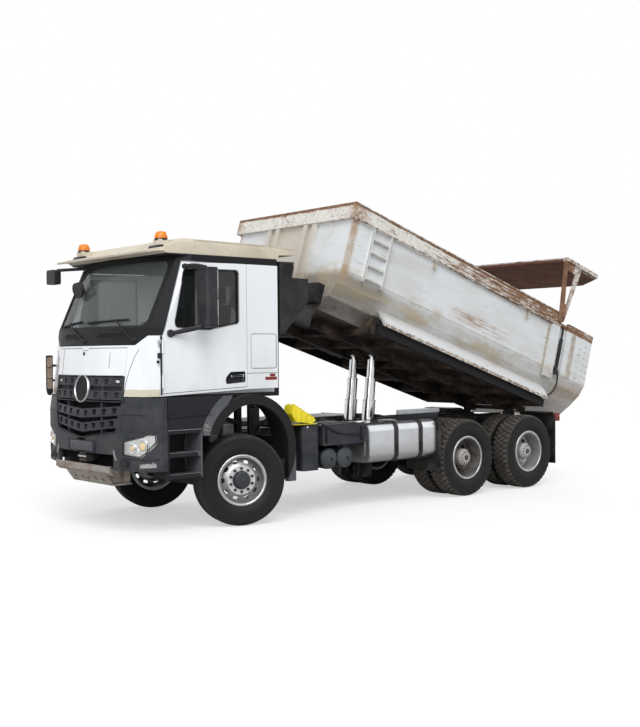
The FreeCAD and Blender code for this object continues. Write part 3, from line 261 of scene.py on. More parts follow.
def flap_white():
    """The front panel: white above and dark grained plastic round the mouths of the grille."""
    paint = Paint("flap_paint", CAB_COLOUR, 0.28, coat=0.4)
    film = paint.noise(3.0, stretch=(1, 1, 0.4))
    clean = blend(film.ramp(0.42, 0.75) * 0.2, CAB_COLOUR, FILM)
    grille = paint.z.ramp(1.790, 1.788)
    dusty = paint.noise(5.0, detail=7).ramp(0.4, 0.75) * 0.25
    plastic = blend(dusty, (0.030, 0.032, 0.038), (0.20, 0.19, 0.18))
    # The round blank of the grille is darker than the plastic round it
    blank = distance(paint.y, paint.z - 1.640).ramp(0.146, 0.144) * paint.x.ramp(1.36, 1.37)
    plastic = blend(blank, plastic, (0.016, 0.017, 0.019))
    paint.colour(blend(grille, clean, plastic))
    paint.dull(grille)
    paint.rough(grille.ramp(0, 1, 0.24, 0.6))
    paint.bump(paint.noise(320.0, detail=2) * grille, 0.0004)
    return paint.material


def body_white():
    """Old white paint on the half pipe: stains along the bend, scratches, and rust at its edges."""
    paint = Paint("body_white", (0.70, 0.72, 0.74), 0.45, place=BODY_PLACE)
    u, y, w = paint.x, abs(paint.y), paint.z
    wash = paint.noise(1.6, stretch=(0.6, 1, 2.2))
    streak = paint.noise(9.0, detail=8, stretch=(3.0, 1, 0.25), rough=0.75)
    cloud = paint.noise(3.2, detail=8, stretch=(0.7, 1, 1.6))
    # Darker band low on each side, partly grime and partly painted shade where the skirt turns to face down,
    # stronger towards the front.
    lower = w.ramp(0.50, 0.40) * w.ramp(0.11, 0.20)
    front = u.ramp(3.0, 4.2, 0.62, 1.0)
    grime = most(wash.ramp(0.42, 0.68) * 0.30, lower * cloud.ramp(0.25, 0.65, 0.35, 1.0) * front)
    tint = blend(grime, (0.70, 0.725, 0.745), (0.33, 0.30, 0.255))
    # Painted shade: the chamfered underside at the front is darkened to brownish grey.
    chamfer_shade = u.ramp(3.72, 3.95) * w.ramp(0.47, 0.40) * cloud.ramp(0.25, 0.6, 0.62, 1.0)
    tint = blend(chamfer_shade, tint, (0.27, 0.245, 0.205))
    # Yellow brown stains that have run down round the bend, and drips below the rail
    bend = w.ramp(0.62, 0.46) * w.ramp(0.16, 0.30) * cloud.ramp(0.50, 0.66, 0.0, 0.75)
    tint = blend(bend, tint, (0.44, 0.36, 0.235))
    drip = streak.ramp(0.54, 0.76) * w.ramp(0.7, 1.14, 0.10, 0.65)
    tint = blend(drip, tint, (0.46, 0.41, 0.33))
    # Panels between the front ribs have yellowed
    yellowed = u.ramp(4.595, 4.598) * y.ramp(0.54, 0.50) * 0.75
    tint = blend(yellowed, tint, (0.53, 0.475, 0.385))
    # Scratches and dents down to dark or rusty metal
    scratch = paint.noise(26.0, detail=10, stretch=(0.10, 1, 2.4), rough=0.8)
    dent = paint.noise(38.0, detail=10, stretch=(0.5, 1, 0.25), rough=0.85)
    area = paint.noise(1.3, detail=4)
    bare = most(scratch.ramp(0.60, 0.62) * area.ramp(0.43, 0.52),
                dent.ramp(0.635, 0.655) * area.ramp(0.42, 0.52))
    metal = blend(cloud.ramp(0.4, 0.6), (0.10, 0.085, 0.075), (0.34, 0.20, 0.11))
    tint = blend(bare, tint, metal)
    # Long torn patch of rust in the middle of each side
    torn = abs(u - 1.95).ramp(0.75, 0.30) * abs(w - 0.62).ramp(0.13, 0.04) * scratch.ramp(0.50, 0.54)
    tint = blend(torn, tint, (0.33, 0.205, 0.125))
    # Rust along the front, the tail and the lower edge
    edge_front = u.ramp(4.55, 4.60) * y.ramp(1.15, 1.20)
    tint = blend(edge_front * cloud.ramp(0.35, 0.6, 0.45, 0.95), tint, (0.42, 0.30, 0.19))
    tail_low = u.ramp(0.05, 0.0) * w.ramp(0.46, 0.30) * streak.ramp(0.35, 0.7, 0.2, 0.9)
    tint = blend(tail_low, tint, (0.36, 0.27, 0.19))
    chip = paint.noise(16.0, detail=9, rough=0.7)
    edge_low = w.ramp(0.10, 0.02) * y.ramp(1.18, 1.2)
    near_edge = most(w.ramp(0.0, 1.0, 0.0, 0.02), edge_low * 0.17, edge_front * 0.10)
    rusty = (chip + near_edge).ramp(0.685, 0.73)
    outer = blend(rusty, tint, blend(chip.ramp(0.5, 0.8), RUST, RUST_LIGHT))
    # The floor's underside is painted dark brown, partly road dirt and partly painted shade, and its sloping
    # front end is a dull grey
    under = w.ramp(0.128, 0.112) * y.ramp(1.135, 1.125) * u.ramp(0.16, 0.24)
    mud = blend(chip.ramp(0.35, 0.7), (0.016, 0.013, 0.012), (0.070, 0.048, 0.036))
    grey = blend(cloud.ramp(0.35, 0.65), (0.25, 0.235, 0.21), (0.10, 0.088, 0.075))
    sloping = u.ramp(3.72, 3.80) * w.ramp(-0.049, -0.040)
    paint.colour(blend(under, outer, blend(sloping, mud, grey)))
    paint.rough(most(grime.ramp(0, 1, 0.38, 0.75), rusty.ramp(0, 1, 0.3, 0.9)))
    paint.bump(chip, 0.0008)
    paint.bump(paint.noise(2.4, detail=2), 0.010, 0.5)
    return paint.material


def rim_rust():
    """Top rail of the body: yellowed white paint, finely scratched and flaking off to brown rust."""
    paint = Paint("rim_rust", RUST, 0.85, place=BODY_PLACE)
    flakes = paint.noise(30.0, detail=12, stretch=(0.18, 1, 1.9), rough=0.78)
    large = paint.noise(2.6, detail=4)
    bare = paint.z.ramp(1.305, 1.345, 0.0, 0.34)
    far = paint.x.ramp(3.4, 1.9, 0.0, 0.16)
    amount = flakes + (bare + far + large.ramp(0.35, 0.65, -0.06, 0.06))
    worn = amount.ramp(0.56, 0.62)
    tone = paint.noise(20.0, detail=8)
    rust = blend(tone.ramp(0.35, 0.7), (0.13, 0.065, 0.036), (0.31, 0.175, 0.095))
    white = blend(tone.ramp(0.40, 0.74), (0.76, 0.755, 0.73), (0.58, 0.54, 0.46))
    corner = paint.x.ramp(4.40, 4.62) * abs(paint.y).ramp(1.08, 1.24) * tone.ramp(0.38, 0.58, 0.35, 1.0)
    white = blend(corner, white, (0.30, 0.18, 0.10))
    paint.colour(blend(worn, white, rust))
    paint.rough(worn.ramp(0, 1, 0.5, 0.92))
    paint.bump(amount, 0.0015)
    return paint.material


def flaking_edge():
    """Lip of the white skirt, speckled with rust where the paint has gone."""
    paint = Paint("flaking_edge", RUST_LIGHT, 0.85, place=BODY_PLACE)
    flakes = paint.noise(30.0, detail=11, stretch=(0.5, 1, 1), rough=0.8)
    tone = paint.noise(14.0, detail=6)
    rust = blend(tone.ramp(0.4, 0.65), (0.10, 0.06, 0.04), (0.34, 0.22, 0.13))
    paint.colour(blend(flakes.ramp(0.47, 0.53), (0.62, 0.60, 0.55), rust))
    paint.bump(flakes, 0.0012)
    return paint.material


def gate_rust():
    """The lifted gate: red-brown rust inside and below, white paint wearing off outside."""
    paint = Paint("gate_rust", RUST, 0.9, place=BODY_PLACE)
    y = abs(paint.y)
    tone = paint.noise(7.0, detail=9, stretch=(1, 0.5, 1)).ramp(0.35, 0.68)
    below = blend(tone, (0.085, 0.030, 0.017), (0.16, 0.062, 0.034))
    arm = blend(tone, (0.15, 0.075, 0.042), (0.32, 0.18, 0.105))
    rust = blend(y.ramp(1.245, 1.255), below, arm)
    flakes = paint.noise(22.0, detail=11, rough=0.78)
    side = y.ramp(1.262, 1.266) * paint.x.ramp(0.27, 0.20) * 0.9
    near = y.ramp(1.19, 1.20) * paint.z.ramp(2.150, 2.158)
    painted = flakes.ramp(0.56, 0.50) * most(paint.z.ramp(2.19, 2.20), near, side)
    paint.colour(blend(painted, rust, (0.66, 0.65, 0.62)))
    paint.bump(paint.noise(60.0, detail=6), 0.0012)
    return paint.material


def roof_beige():
    """Sun faded beige moulded roof with amber beacons."""
    paint = Paint("roof_beige", (0.62, 0.56, 0.45), 0.6)
    x, z = paint.x, paint.z
    fade = paint.noise(2.2, detail=6)
    spots = paint.noise(45.0, detail=8, rough=0.7)
    base = blend(fade.ramp(0.35, 0.65), (0.66, 0.60, 0.49), (0.52, 0.46, 0.36))
    base = blend(spots.ramp(0.60, 0.68) * 0.5, base, (0.30, 0.26, 0.21))
    base = blend(z.ramp(3.168, 3.162) * x.ramp(1.0, 0.99), base, (0.016, 0.016, 0.018))
    near = distance(x - 0.895, abs(paint.y) - 0.900)
    paint.colour(blend(near.ramp(0.068, 0.066) * z.ramp(3.336, 3.338), base, AMBER))
    paint.bump(spots, 0.0005)
    return paint.material


def dark_plastic(name, colour, dust_top, dusty):
    """Moulded grained plastic that greys with dust towards the road."""
    paint = Paint(name, colour, 0.55, specular=0.25)
    scuff = paint.noise(28.0, detail=9, stretch=(0.4, 1, 1.6), rough=0.75)
    dust = paint.noise(4.0, detail=7).ramp(0.38, 0.72) * paint.z.ramp(dust_top, 0.5, 0.08, dusty)
    tint = blend(dust, colour, DUST)
    paint.colour(blend(scuff.ramp(0.66, 0.70) * 0.35, tint, (0.30, 0.29, 0.28)))
    paint.rough(dust.ramp(0, 0.5, 0.46, 0.8))
    paint.bump(paint.noise(420.0, detail=2), 0.0003)
    return paint.material


def flare_plastic():
    """Wheel arch: a grey dusty flare round a nearly black inner panel, its front end worn pale."""
    paint = Paint("flare_plastic", (0.055, 0.060, 0.068), 0.6, specular=0.25)
    x, z = paint.x, paint.z
    radius = distance(x - -0.135, z - 0.898)
    scuff = paint.noise(30.0, detail=9, stretch=(0.4, 1, 1.6), rough=0.75)
    dusty = paint.noise(5.0, detail=7).ramp(0.38, 0.72) * 0.35
    tint = blend(dusty, (0.080, 0.086, 0.096), (0.17, 0.165, 0.155))
    outside = radius.ramp(0.767, 0.771)
    tint = blend(outside, tint, (0.012, 0.013, 0.016))
    tint = blend(radius.ramp(0.655, 0.648), tint, (0.010, 0.010, 0.011))
    worn = (x.ramp(0.44, 0.52) * x.ramp(0.574, 0.566) * z.ramp(1.30, 1.14) * scuff.ramp(0.50, 0.60)
            * outside.ramp(1, 0))
    steps = x.ramp(0.570, 0.575) * z.ramp(1.215, 1.205) * scuff.ramp(0.56, 0.80, 0.0, 0.05)
    paint.colour(blend(most(worn, steps), tint, (0.42, 0.41, 0.38)))
    paint.bump(paint.noise(420.0, detail=2), 0.0003)
    return paint.material


def frame_black(name="frame_black", rusty=0.25):
    """Black chassis paint with dried mud, dust and a little rust."""
    paint = Paint(name, BLACK, 0.5, specular=0.2)
    spots = paint.noise(34.0, detail=8, rough=0.7)
    dust = paint.noise(7.0, detail=9).ramp(0.42, 0.72) * paint.z.ramp(1.3, 0.4, 0.18, 0.6)
    tint = blend(dust, BLACK, (0.16, 0.14, 0.12))
    paint.colour(blend(spots.ramp(0.60, 0.70) * rusty, tint, (0.18, 0.09, 0.05)))
    paint.rough(dust.ramp(0, 0.6, 0.42, 0.85))
    paint.bump(spots, 0.0010)
    return paint.material


def underbody():
    """Body subframe seen from below: black paint gone brown with road dirt."""
    paint = Paint("underbody", (0.02, 0.018, 0.016), 0.7, specular=0.15, place=BODY_PLACE)
    mud = paint.noise(5.0, detail=10, stretch=(0.6, 1, 1))
    spots = paint.noise(26.0, detail=8, rough=0.7)
    tint = blend(mud.ramp(0.40, 0.70), (0.018, 0.016, 0.016), (0.105, 0.075, 0.055))
    tint = blend(spots.ramp(0.58, 0.70) * 0.5, tint, (0.20, 0.13, 0.09))
    paint.colour(blend(abs(paint.y).ramp(1.155, 1.16), tint, (0.016, 0.016, 0.018)))
    paint.bump(spots, 0.0015)
    return paint.material


def aluminium():
    """Plain rolled aluminium tank with a soft sheen, greyer low down, with painted shade on its front end and
    black straps.
    """
    paint = Paint("tank_aluminium", (0.80, 0.81, 0.83), 0.3, metallic=1.0)
    x, y, z = paint.x, paint.y, paint.z
    brushed = paint.noise(40.0, detail=3, stretch=(0.05, 1, 2.0))
    cloud = paint.noise(2.2, detail=4)
    tint = blend(cloud.ramp(0.38, 0.68), (0.86, 0.88, 0.91), (0.70, 0.71, 0.73))
    low = (z + cloud.ramp(0.3, 0.7, -0.015, 0.015)).ramp(0.84, 0.62, 0.0, 0.75)
    tint = blend(low, tint, (0.36, 0.34, 0.31))
    # Painted shade: the front end face of the tank is darkened.
    tint = blend(x.ramp(-2.052, -2.046) * 0.65, tint, (0.16, 0.17, 0.18))
    straps = most(*[x.ramp(middle - 0.036, middle - 0.0355) * x.ramp(middle + 0.036, middle + 0.0355)
                    for middle in (-2.53, -2.99)])
    paint.colour(blend(straps, tint, BLACK))
    paint.metal(straps.ramp(0, 1, 1.0, 0.0) * y.ramp(0.5, 0.51, 0.9, 1.0))
    paint.rough(most(brushed.ramp(0.3, 0.7, 0.27, 0.30), straps.ramp(0, 1, 0.2, 0.5)))
    return paint.material


def worn_steel():
    """Bare steel skid plate, scraped and rusting."""
    paint = Paint("worn_steel", (0.34, 0.30, 0.27), 0.5, metallic=0.7)
    wear = paint.noise(9.0, detail=9, stretch=(1, 0.35, 1))
    paint.colour(blend(wear.ramp(0.38, 0.66), (0.44, 0.41, 0.38), (0.20, 0.13, 0.09)))
    paint.metal(wear.ramp(0.4, 0.65, 0.85, 0.1))
    paint.rough(wear.ramp(0.4, 0.65, 0.38, 0.85))
    paint.bump(paint.noise(70.0, detail=6), 0.0010)
    return paint.material


def rubber(name, location, turn, dusty):
    """Tyre rubber: worn dusty tread, blacker sidewalls with fine rings."""
    paint = Paint(name, (0.010, 0.010, 0.011), 0.7, specular=0.2, place=(location, (0, 0, turn)))
    radius = distance(paint.x, paint.z)
    tread = radius.ramp(TYRE_R - 0.045, TYRE_R - 0.012)
    dust = paint.noise(6.0, detail=8).ramp(0.30, 0.70, 0.4, 1.0) * tread.ramp(0, 1, 0.03, dusty)
    paint.colour(blend(dust, (0.0085, 0.009, 0.010), (0.23, 0.205, 0.175)))
    rings = (radius * 420.0).math("SINE")
    paint.bump(rings * radius.ramp(TYRE_R - 0.05, TYRE_R - 0.07) * radius.ramp(RIM_R + 0.09, RIM_R + 0.10),
               0.0006)
    paint.bump(paint.noise(90.0, detail=4), 0.0006)
    paint.rough(dust.ramp(0, 0.6, 0.55, 0.9))
    return paint.material


def wheel_silver(name, location, turn, hub_radius, hub, rust, painted_light_zones=False, dirt=0.0):
    """Silver wheel with a darker hub and dark studs, and rust where the paint is gone. On the front wheels
    the sloping dish gets painted shade and the flat ring a painted highlight.
    """
    paint = Paint(name, (0.52, 0.53, 0.54), 0.4, metallic=0.6, place=(location, (0, 0, turn)))
    radius = distance(paint.x, paint.z)
    cloud = paint.noise(8.0, detail=9)
    spots = paint.noise(40.0, detail=7, rough=0.7)
    silver = blend(cloud.ramp(0.42, 0.70) * 0.55, (0.55, 0.56, 0.57), (0.30, 0.28, 0.26))
    gone = (spots + rust).ramp(0.62, 0.74) * radius.ramp(0.283, 0.279)
    tint = blend(gone, silver, (0.16, 0.09, 0.055))
    dirty = radius.ramp(0.2795, 0.275) * cloud.ramp(0.25, 0.6, 0.7, 1.0) * dirt
    tint = blend(dirty, tint, (0.050, 0.038, 0.030))
    gone = most(gone, dirty)
    if painted_light_zones:
        # Painted shade on the sloping dish, and a painted highlight on the flat ring round the hub.
        dish_shade = radius.ramp(0.171, 0.174) * radius.ramp(0.277, 0.274)
        tint = blend(dish_shade * 0.8, tint, (0.27, 0.275, 0.28))
        flat_highlight = radius.ramp(0.171, 0.169) * radius.ramp(0.114, 0.116)
        tint = blend(flat_highlight, tint, (0.72, 0.73, 0.73))
    centre = radius.ramp(hub_radius + 0.001, hub_radius - 0.001)
    paint.colour(blend(centre, tint, hub))
    paint.metal(centre.ramp(0, 1, 0.65, 0.0) * gone.ramp(0, 1, 1, 0))
    paint.rough(most(cloud.ramp(0.4, 0.7, 0.32, 0.6), gone * 0.9, centre * 0.55))
    paint.bump(spots, 0.0008)
    return paint.material


def chrome():
    """Polished hoist tube with a thin oil film."""
    paint = Paint("hoist_chrome", (0.80, 0.81, 0.83), 0.12, metallic=1.0)
    film = paint.noise(24.0, detail=5, stretch=(1, 1, 0.2))
    paint.rough(film.ramp(0.35, 0.75, 0.08, 0.28))
    paint.colour(blend(film.ramp(0.5, 0.8), (0.66, 0.67, 0.69), (0.40, 0.39, 0.38)))
    return paint.material


def glass(name, colour, alpha):
    """Clear sheet glass, slightly grey, that lets the cabin show."""
    paint = Paint(name, colour, 0.03, coat=0.2)
    smear = paint.noise(5.0, detail=6)
    paint.rough(smear.ramp(0.4, 0.8, 0.02, 0.08))
    feed(alpha, paint.inputs["Alpha"])
    paint.bump(smear, 0.0002)
    return paint.material


def cabin_grey():
    """Trim and seats inside the cab."""
    paint = Paint("cabin_grey", (0.05, 0.05, 0.052), 0.75, specular=0.2)
    paint.colour(blend(paint.noise(6.0).ramp(0.3, 0.7), (0.04, 0.04, 0.043), (0.09, 0.088, 0.085)))
    paint.bump(paint.noise(300.0, detail=2), 0.0006)
    return paint.material


def safety_yellow():
    """Ribbed yellow plastic of the wheel chocks."""
    paint = Paint("safety_yellow", (0.85, 0.72, 0.02), 0.5)
    grime = paint.noise(24.0, detail=8)
    paint.colour(blend(grime.ramp(0.5, 0.8), (0.86, 0.73, 0.02), (0.35, 0.28, 0.05)))
    paint.bump(grime, 0.0008)
    return paint.material


def lamp_red():
    """Tail lamp bar: red lenses on a black bar."""
    paint = Paint("lamp_red", (0.45, 0.02, 0.015), 0.25, coat=0.4)
    paint.colour(blend(paint.z.ramp(0.948, 0.952), (0.012, 0.012, 0.013), (0.16, 0.009, 0.008)))
    paint.bump((abs(paint.y) * 620.0).math("SINE"), 0.0006)
    return paint.material


def plain_finish(name, colour, roughness, metallic=0.0, grain=80.0, depth=0.0004, spread=0.25):
    """A small part's own finish: its colour varied a little, with fine grain."""
    paint = Paint(name, colour, roughness, metallic, specular=0.2 if max(colour) < 0.1 else 0.5)
    darker = tuple(part * (1 - spread) for part in colour)
    paint.colour(blend(paint.noise(12.0, detail=6).ramp(0.35, 0.7), colour, darker))
    paint.bump(paint.noise(grain, detail=3), depth)
    return paint.material


# Mesh tools

TRUCK = Matrix.Translation((AXLE_X, 0, 0))
BED = Matrix.Translation((BODY_X + AXLE_X, 0, BODY_Z)) @ Matrix.Rotation(-TIP, 4, "Y")
BEVEL_FROM = math.radians(30)


def moved(spot, place=TRUCK):
    """A place shifted to a point."""
    return place @ Matrix.Translation(spot)


def round_point(angle, radius, along=0.0):
    """A point at an angle and a radius about the Y axis."""
    return Vector((radius * math.cos(angle), along, radius * math.sin(angle)))


def full_turn(count):
    """Angles of a whole turn in equal steps."""
    return [2 * math.pi * number / count for number in range(count)]


def between(first, second, share):
    """A point part of the way from one to another."""
    return [low + (high - low) * share for low, high in zip(first, second)]


def loft(shape, rings, closed=False):
    """Joins rings of points, each with the same count, into a skin with capped ends."""
    made = [[shape.verts.new(point) for point in ring] for ring in rings]
    count = len(made[0])
    pairs = list(zip(made, made[1:]))
    if closed:
        pairs.append((made[-1], made[0]))
    for first, second in pairs:
        for number in range(count):
            following = (number + 1) % count
            shape.faces.new((first[number], first[following], second[following], second[number]))
    if not closed:
        shape.faces.new(list(reversed(made[0])))
        shape.faces.new(made[-1])


def aimed(origin, direction, place=TRUCK):
    """A place at a point whose Y axis runs in the given direction."""
    turn = Vector(direction).to_track_quat("Y", "Z").to_matrix().to_4x4()
    return moved(origin, place) @ turn


def placed(name, data):
    """An object of the scene that shows a mesh, a light or a camera."""
    made = bpy.data.objects.new(name, data)
    bpy.context.scene.collection.objects.link(made)
    return made


class Shape:
    """A mesh under construction: its name and looks, and the place in which its lengths are given."""

    made = []

    def __init__(self, name, material, slot="black_plastic", body="chassis", bevel=0.0,
                 sharp=35, replaces=()):
        self.mesh = bmesh.new()
        self.place = BED if body in ("bed", "gate") else TRUCK
        self.name, self.material, self.bevel, self.sharp = name, material, bevel, sharp
        self.ties = body, slot, replaces
        Shape.made.append(self)

    def at(self, place):
        """The same mesh with lengths in another place."""
        other = copy.copy(self)
        other.place = place
        return other

    def on(self, spot, direction):
        """The same mesh with lengths in a place at a point, whose Y axis runs in the given direction."""
        return self.at(aimed(spot, direction, self.place))

    def block(self, x0, x1, y0, y1, z0, z1):
        """Adds a box between two corners."""
        middle = Matrix.Translation(((x0 + x1) / 2, (y0 + y1) / 2, (z0 + z1) / 2))
        size = Matrix.Diagonal((abs(x1 - x0), abs(y1 - y0), abs(z1 - z0), 1))
        bmesh.ops.create_cube(self.mesh, size=1, matrix=self.place @ middle @ size)

    def prism(self, axis, outline, low, high):
        """Adds an outline in the two other axes, carried along one axis from low to high."""
        def point(pair, depth):
            first, second = pair
            spots = {"X": (depth, first, second), "Y": (first, depth, second), "Z": (first, second, depth)}
            return self.place @ Vector(spots[axis])
        loft(self.mesh, [[point(pair, depth) for pair in outline] for depth in (low, high)])

    def spun(self, outline, steps=48):
        """Turns a closed outline of (along Y, radius) about the Y axis."""
        rings = [[self.place @ round_point(turn, radius, along) for along, radius in outline]
                 for turn in full_turn(steps)]
        loft(self.mesh, rings, closed=True)

    def domed(self, outline, steps=24):
        """Turns an open outline of (along Y, radius) about the Y axis and caps both its ends."""
        loft(self.mesh, [[self.place @ round_point(turn, radius, along) for turn in full_turn(steps)]
                         for along, radius in outline])

    def pipe(self, points, radius, sides=10):
        """A round bar through the points, its corners rounded by two cuts at each."""
        line = [Vector(point) for point in points]
        for _ in range(2):
            finer = [line[0]]
            for first, second in zip(line, line[1:]):
                finer += [first.lerp(second, 0.25), first.lerp(second, 0.75)]
            line = finer + [line[-1]]
        rings = []
        side = None
        for number, spot in enumerate(line):
            ahead = (line[min(number + 1, len(line) - 1)] - line[max(number - 1, 0)]).normalized()
            if side is None:
                side = ahead.orthogonal().normalized()
            side = (side - ahead * side.dot(ahead)).normalized()
            other = ahead.cross(side)
            rings.append([self.place @ (spot + radius * (math.cos(turn) * side + math.sin(turn) * other))
                          for turn in full_turn(sides)])
        loft(self.mesh, rings)

    def ribbon(self, points, across, outward, width, proud, sunk=0.004):
        """A flat strip along the points, width wide in the across direction, proud of the surface."""
        wide = Vector(across).normalized() * width / 2
        out = Vector(outward).normalized()
        rings = []
        for point in points:
            spot = Vector(point)
            rings.append([self.place @ (spot + wide - out * sunk), self.place @ (spot + wide + out * proud),
                          self.place @ (spot - wide + out * proud), self.place @ (spot - wide - out * sunk)])
        loft(self.mesh, rings)

    def finish(self):
        """Makes the object and lets it ride on its body."""
        if self.bevel:
            edges = [edge for edge in self.mesh.edges
                     if edge.is_manifold and edge.calc_face_angle(0) > BEVEL_FROM]
            bmesh.ops.bevel(self.mesh, geom=edges, offset=self.bevel, segments=2, profile=0.5, affect="EDGES",
                            clamp_overlap=True)
        bmesh.ops.recalc_face_normals(self.mesh, faces=self.mesh.faces)
        data = bpy.data.meshes.new(self.name)
        self.mesh.to_mesh(data)
        self.mesh.free()
        data.shade_smooth()
        data.set_sharp_from_angle(angle=math.radians(self.sharp))
        data.materials.append(self.material)
        made = placed(self.name, data)
        body, slot, replaces = self.ties
        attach(made, body)
        if replaces:
            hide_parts(*replaces)


def nose_plan(front, half, corner, y):
    """How far forward the rounded nose reaches at a distance from the middle."""
    y = abs(y)
    edge = half * 0.70
    if y <= edge:
        radius = (edge ** 2 + 0.095 ** 2) / 0.190
        return front - radius + math.sqrt(radius ** 2 - y ** 2)
    side = half - 0.075
    if y <= side:
        return front - 0.095 + (corner + 0.245 - front) * (y - edge) / (side - edge)
    return corner + 0.150 * (1 - (y - side) / 0.075)


def cab_front(y, z):
    """How far forward the cab's skin lies: it leans back slightly, and more from the waist up."""
    if z < WAIST:
        back = NOSE_LEAN * (z - CAB_LOW) / (WAIST - CAB_LOW)
        return nose_plan(NOSE_X, CAB_HALF, 1.100, y) - back
    return nose_plan(NOSE_X - NOSE_LEAN, CAB_HALF, 1.015, y) - 0.370 * (z - WAIST) / 0.820


def bumper_front(y):
    """How far forward the bumper lies."""
    return nose_plan(1.450, CAB_HALF + 0.075, 1.110, y)


def on_cab(pairs, proud=0.0):
    """Points on the cab's front skin, or proud of it, at pairs of (Y, Z)."""
    return [(cab_front(y, z) + proud, y, z) for y, z in pairs]


def steps_between(low, high, count):
    """A number of values in equal steps from low to high, both of them among these."""
    return [low + (high - low) * number / (count - 1) for number in range(count)]


# Wheels

def wheel_place(side):
    """Middle and heading of a steered front wheel."""
    out = side * (FRONT_TRACK_Y - KINGPIN_Y)
    pin = at(FRONT_X, side * KINGPIN_Y, TYRE_R)
    return pin + Vector((out * math.sin(STEER), out * math.cos(STEER), 0)), -STEER


def tyre_outline(half, crown):
    """Closed outline of a tyre from bead to bead, with the tread as its crown."""
    wall = [(0.036, 0.290), (0.036, 0.304), (0.032, 0.309), (0.020, 0.330), (0.008, 0.362), (0.001, 0.395),
            (0.002, 0.402), (0.001, 0.410), (0.003, 0.450), (0.007, 0.478), (0.005, 0.484), (0.012, 0.505)]
    left = [(half - back, radius) for back, radius in wall]
    right = [(back - half, radius) for back, radius in wall]
    return left + crown + list(reversed(right))


def ribbed_crown(half):
    """Tread of a steered wheel: plain ribs with four grooves round it."""
    points = [(half - 0.020, 0.522), (half - 0.032, 0.530), (half - 0.055, 0.5365)]
    for groove in (0.072, 0.026):
        points += [(groove + 0.006, 0.5395), (groove + 0.004, 0.526), (groove - 0.004, 0.526),
                   (groove - 0.006, 0.5395)]
    return points + [(-along, radius) for along, radius in reversed(points)]


def plain_crown(half):
    """Carcass under the lugs of a driven wheel."""
    points = [(half - 0.024, 0.512), (half - 0.055, 0.520), (half - 0.090, 0.5225)]
    return points + [(-along, radius) for along, radius in reversed(points)]


def lug(shape, place, outline, start, end, skew):
    """One tread block: an outline of (along Y, radius) carried round from start to end."""
    loft(shape.mesh, [[place @ round_point(turn + skew * along, radius, along) for along, radius in outline]
                      for turn in (start, end)])


def lugged_tread(shape, place, half):
    """Deep blocks of a driven wheel: shoulder lugs that run over the edge and two staggered middle rows."""
    pitch = 2 * math.pi / LUGS
    shoulder = [(0.074, 0.515), (0.076, 0.5395), (half - 0.054, 0.5385), (half - 0.027, 0.5290),
                (half - 0.007, 0.494), (half - 0.020, 0.488)]
    inner = [(0.006, 0.515), (0.007, 0.540), (0.064, 0.5397), (0.065, 0.515)]
    for number in range(LUGS):
        start = pitch * number
        for way in (1, -1):
            shift = 0.5 * pitch if way < 0 else 0.0
            outline = [(way * along, radius) for along, radius in shoulder]
            lug(shape, place, outline, start + shift, start + shift + 0.60 * pitch, way * 0.25)
            outline = [(way * along, radius) for along, radius in inner]
            lug(shape, place, outline, start - shift + 0.30 * pitch, start - shift + 0.98 * pitch, way * 0.9)


def tyres():
    """Tyres with their tread in place of the solids' plain ones."""
    for side, word in SIDES:
        spot, turn = wheel_place(side)
        place = Matrix.Translation(spot) @ Matrix.Rotation(turn, 4, "Z")
        node = "tyre_front_" + word
        shape = Shape("front_tyre_" + word, rubber(node, spot, turn, 0.16), "tyre_rubber",
                      "front_%s_wheel" % word, sharp=50, replaces=[node])
        half = FRONT_TYRE_W / 2
        shape.at(place).spun(tyre_outline(half, ribbed_crown(half)), 96)
        for axle, x in (("middle", MIDDLE_X), ("rear", REAR_X)):
            node = "tyres_%s_%s" % (axle, word)
            shape = Shape("%s_tyres_%s" % (axle, word), rubber(node, at(x, side * DUAL_Y, TYRE_R), 0, 0.55),
                          "tyre_rubber", "%s_%s_wheels" % (axle, word), sharp=30, replaces=[node])
            half = DUAL_TYRE_W / 2
            for y in (DUAL_OUT_Y, DUAL_IN_Y):
                place = Matrix.Translation(at(x, side * y, TYRE_R))
                shape.at(place).spun(tyre_outline(half, plain_crown(half)), 72)
                lugged_tread(shape, place, half)


def nut(shape, place, angle, circle, low, high, radius):
    """A six sided nut and the end of its stud, with Y along the wheel's axis."""
    spot = moved(round_point(angle, circle), place)
    shape.at(spot).domed([(low, radius), (low + 0.7 * (high - low), radius), (high, radius * 0.8)], 6)
    shape.at(spot).domed([(high - 0.002, radius * 0.45), (high + 0.010, radius * 0.42)], 8)


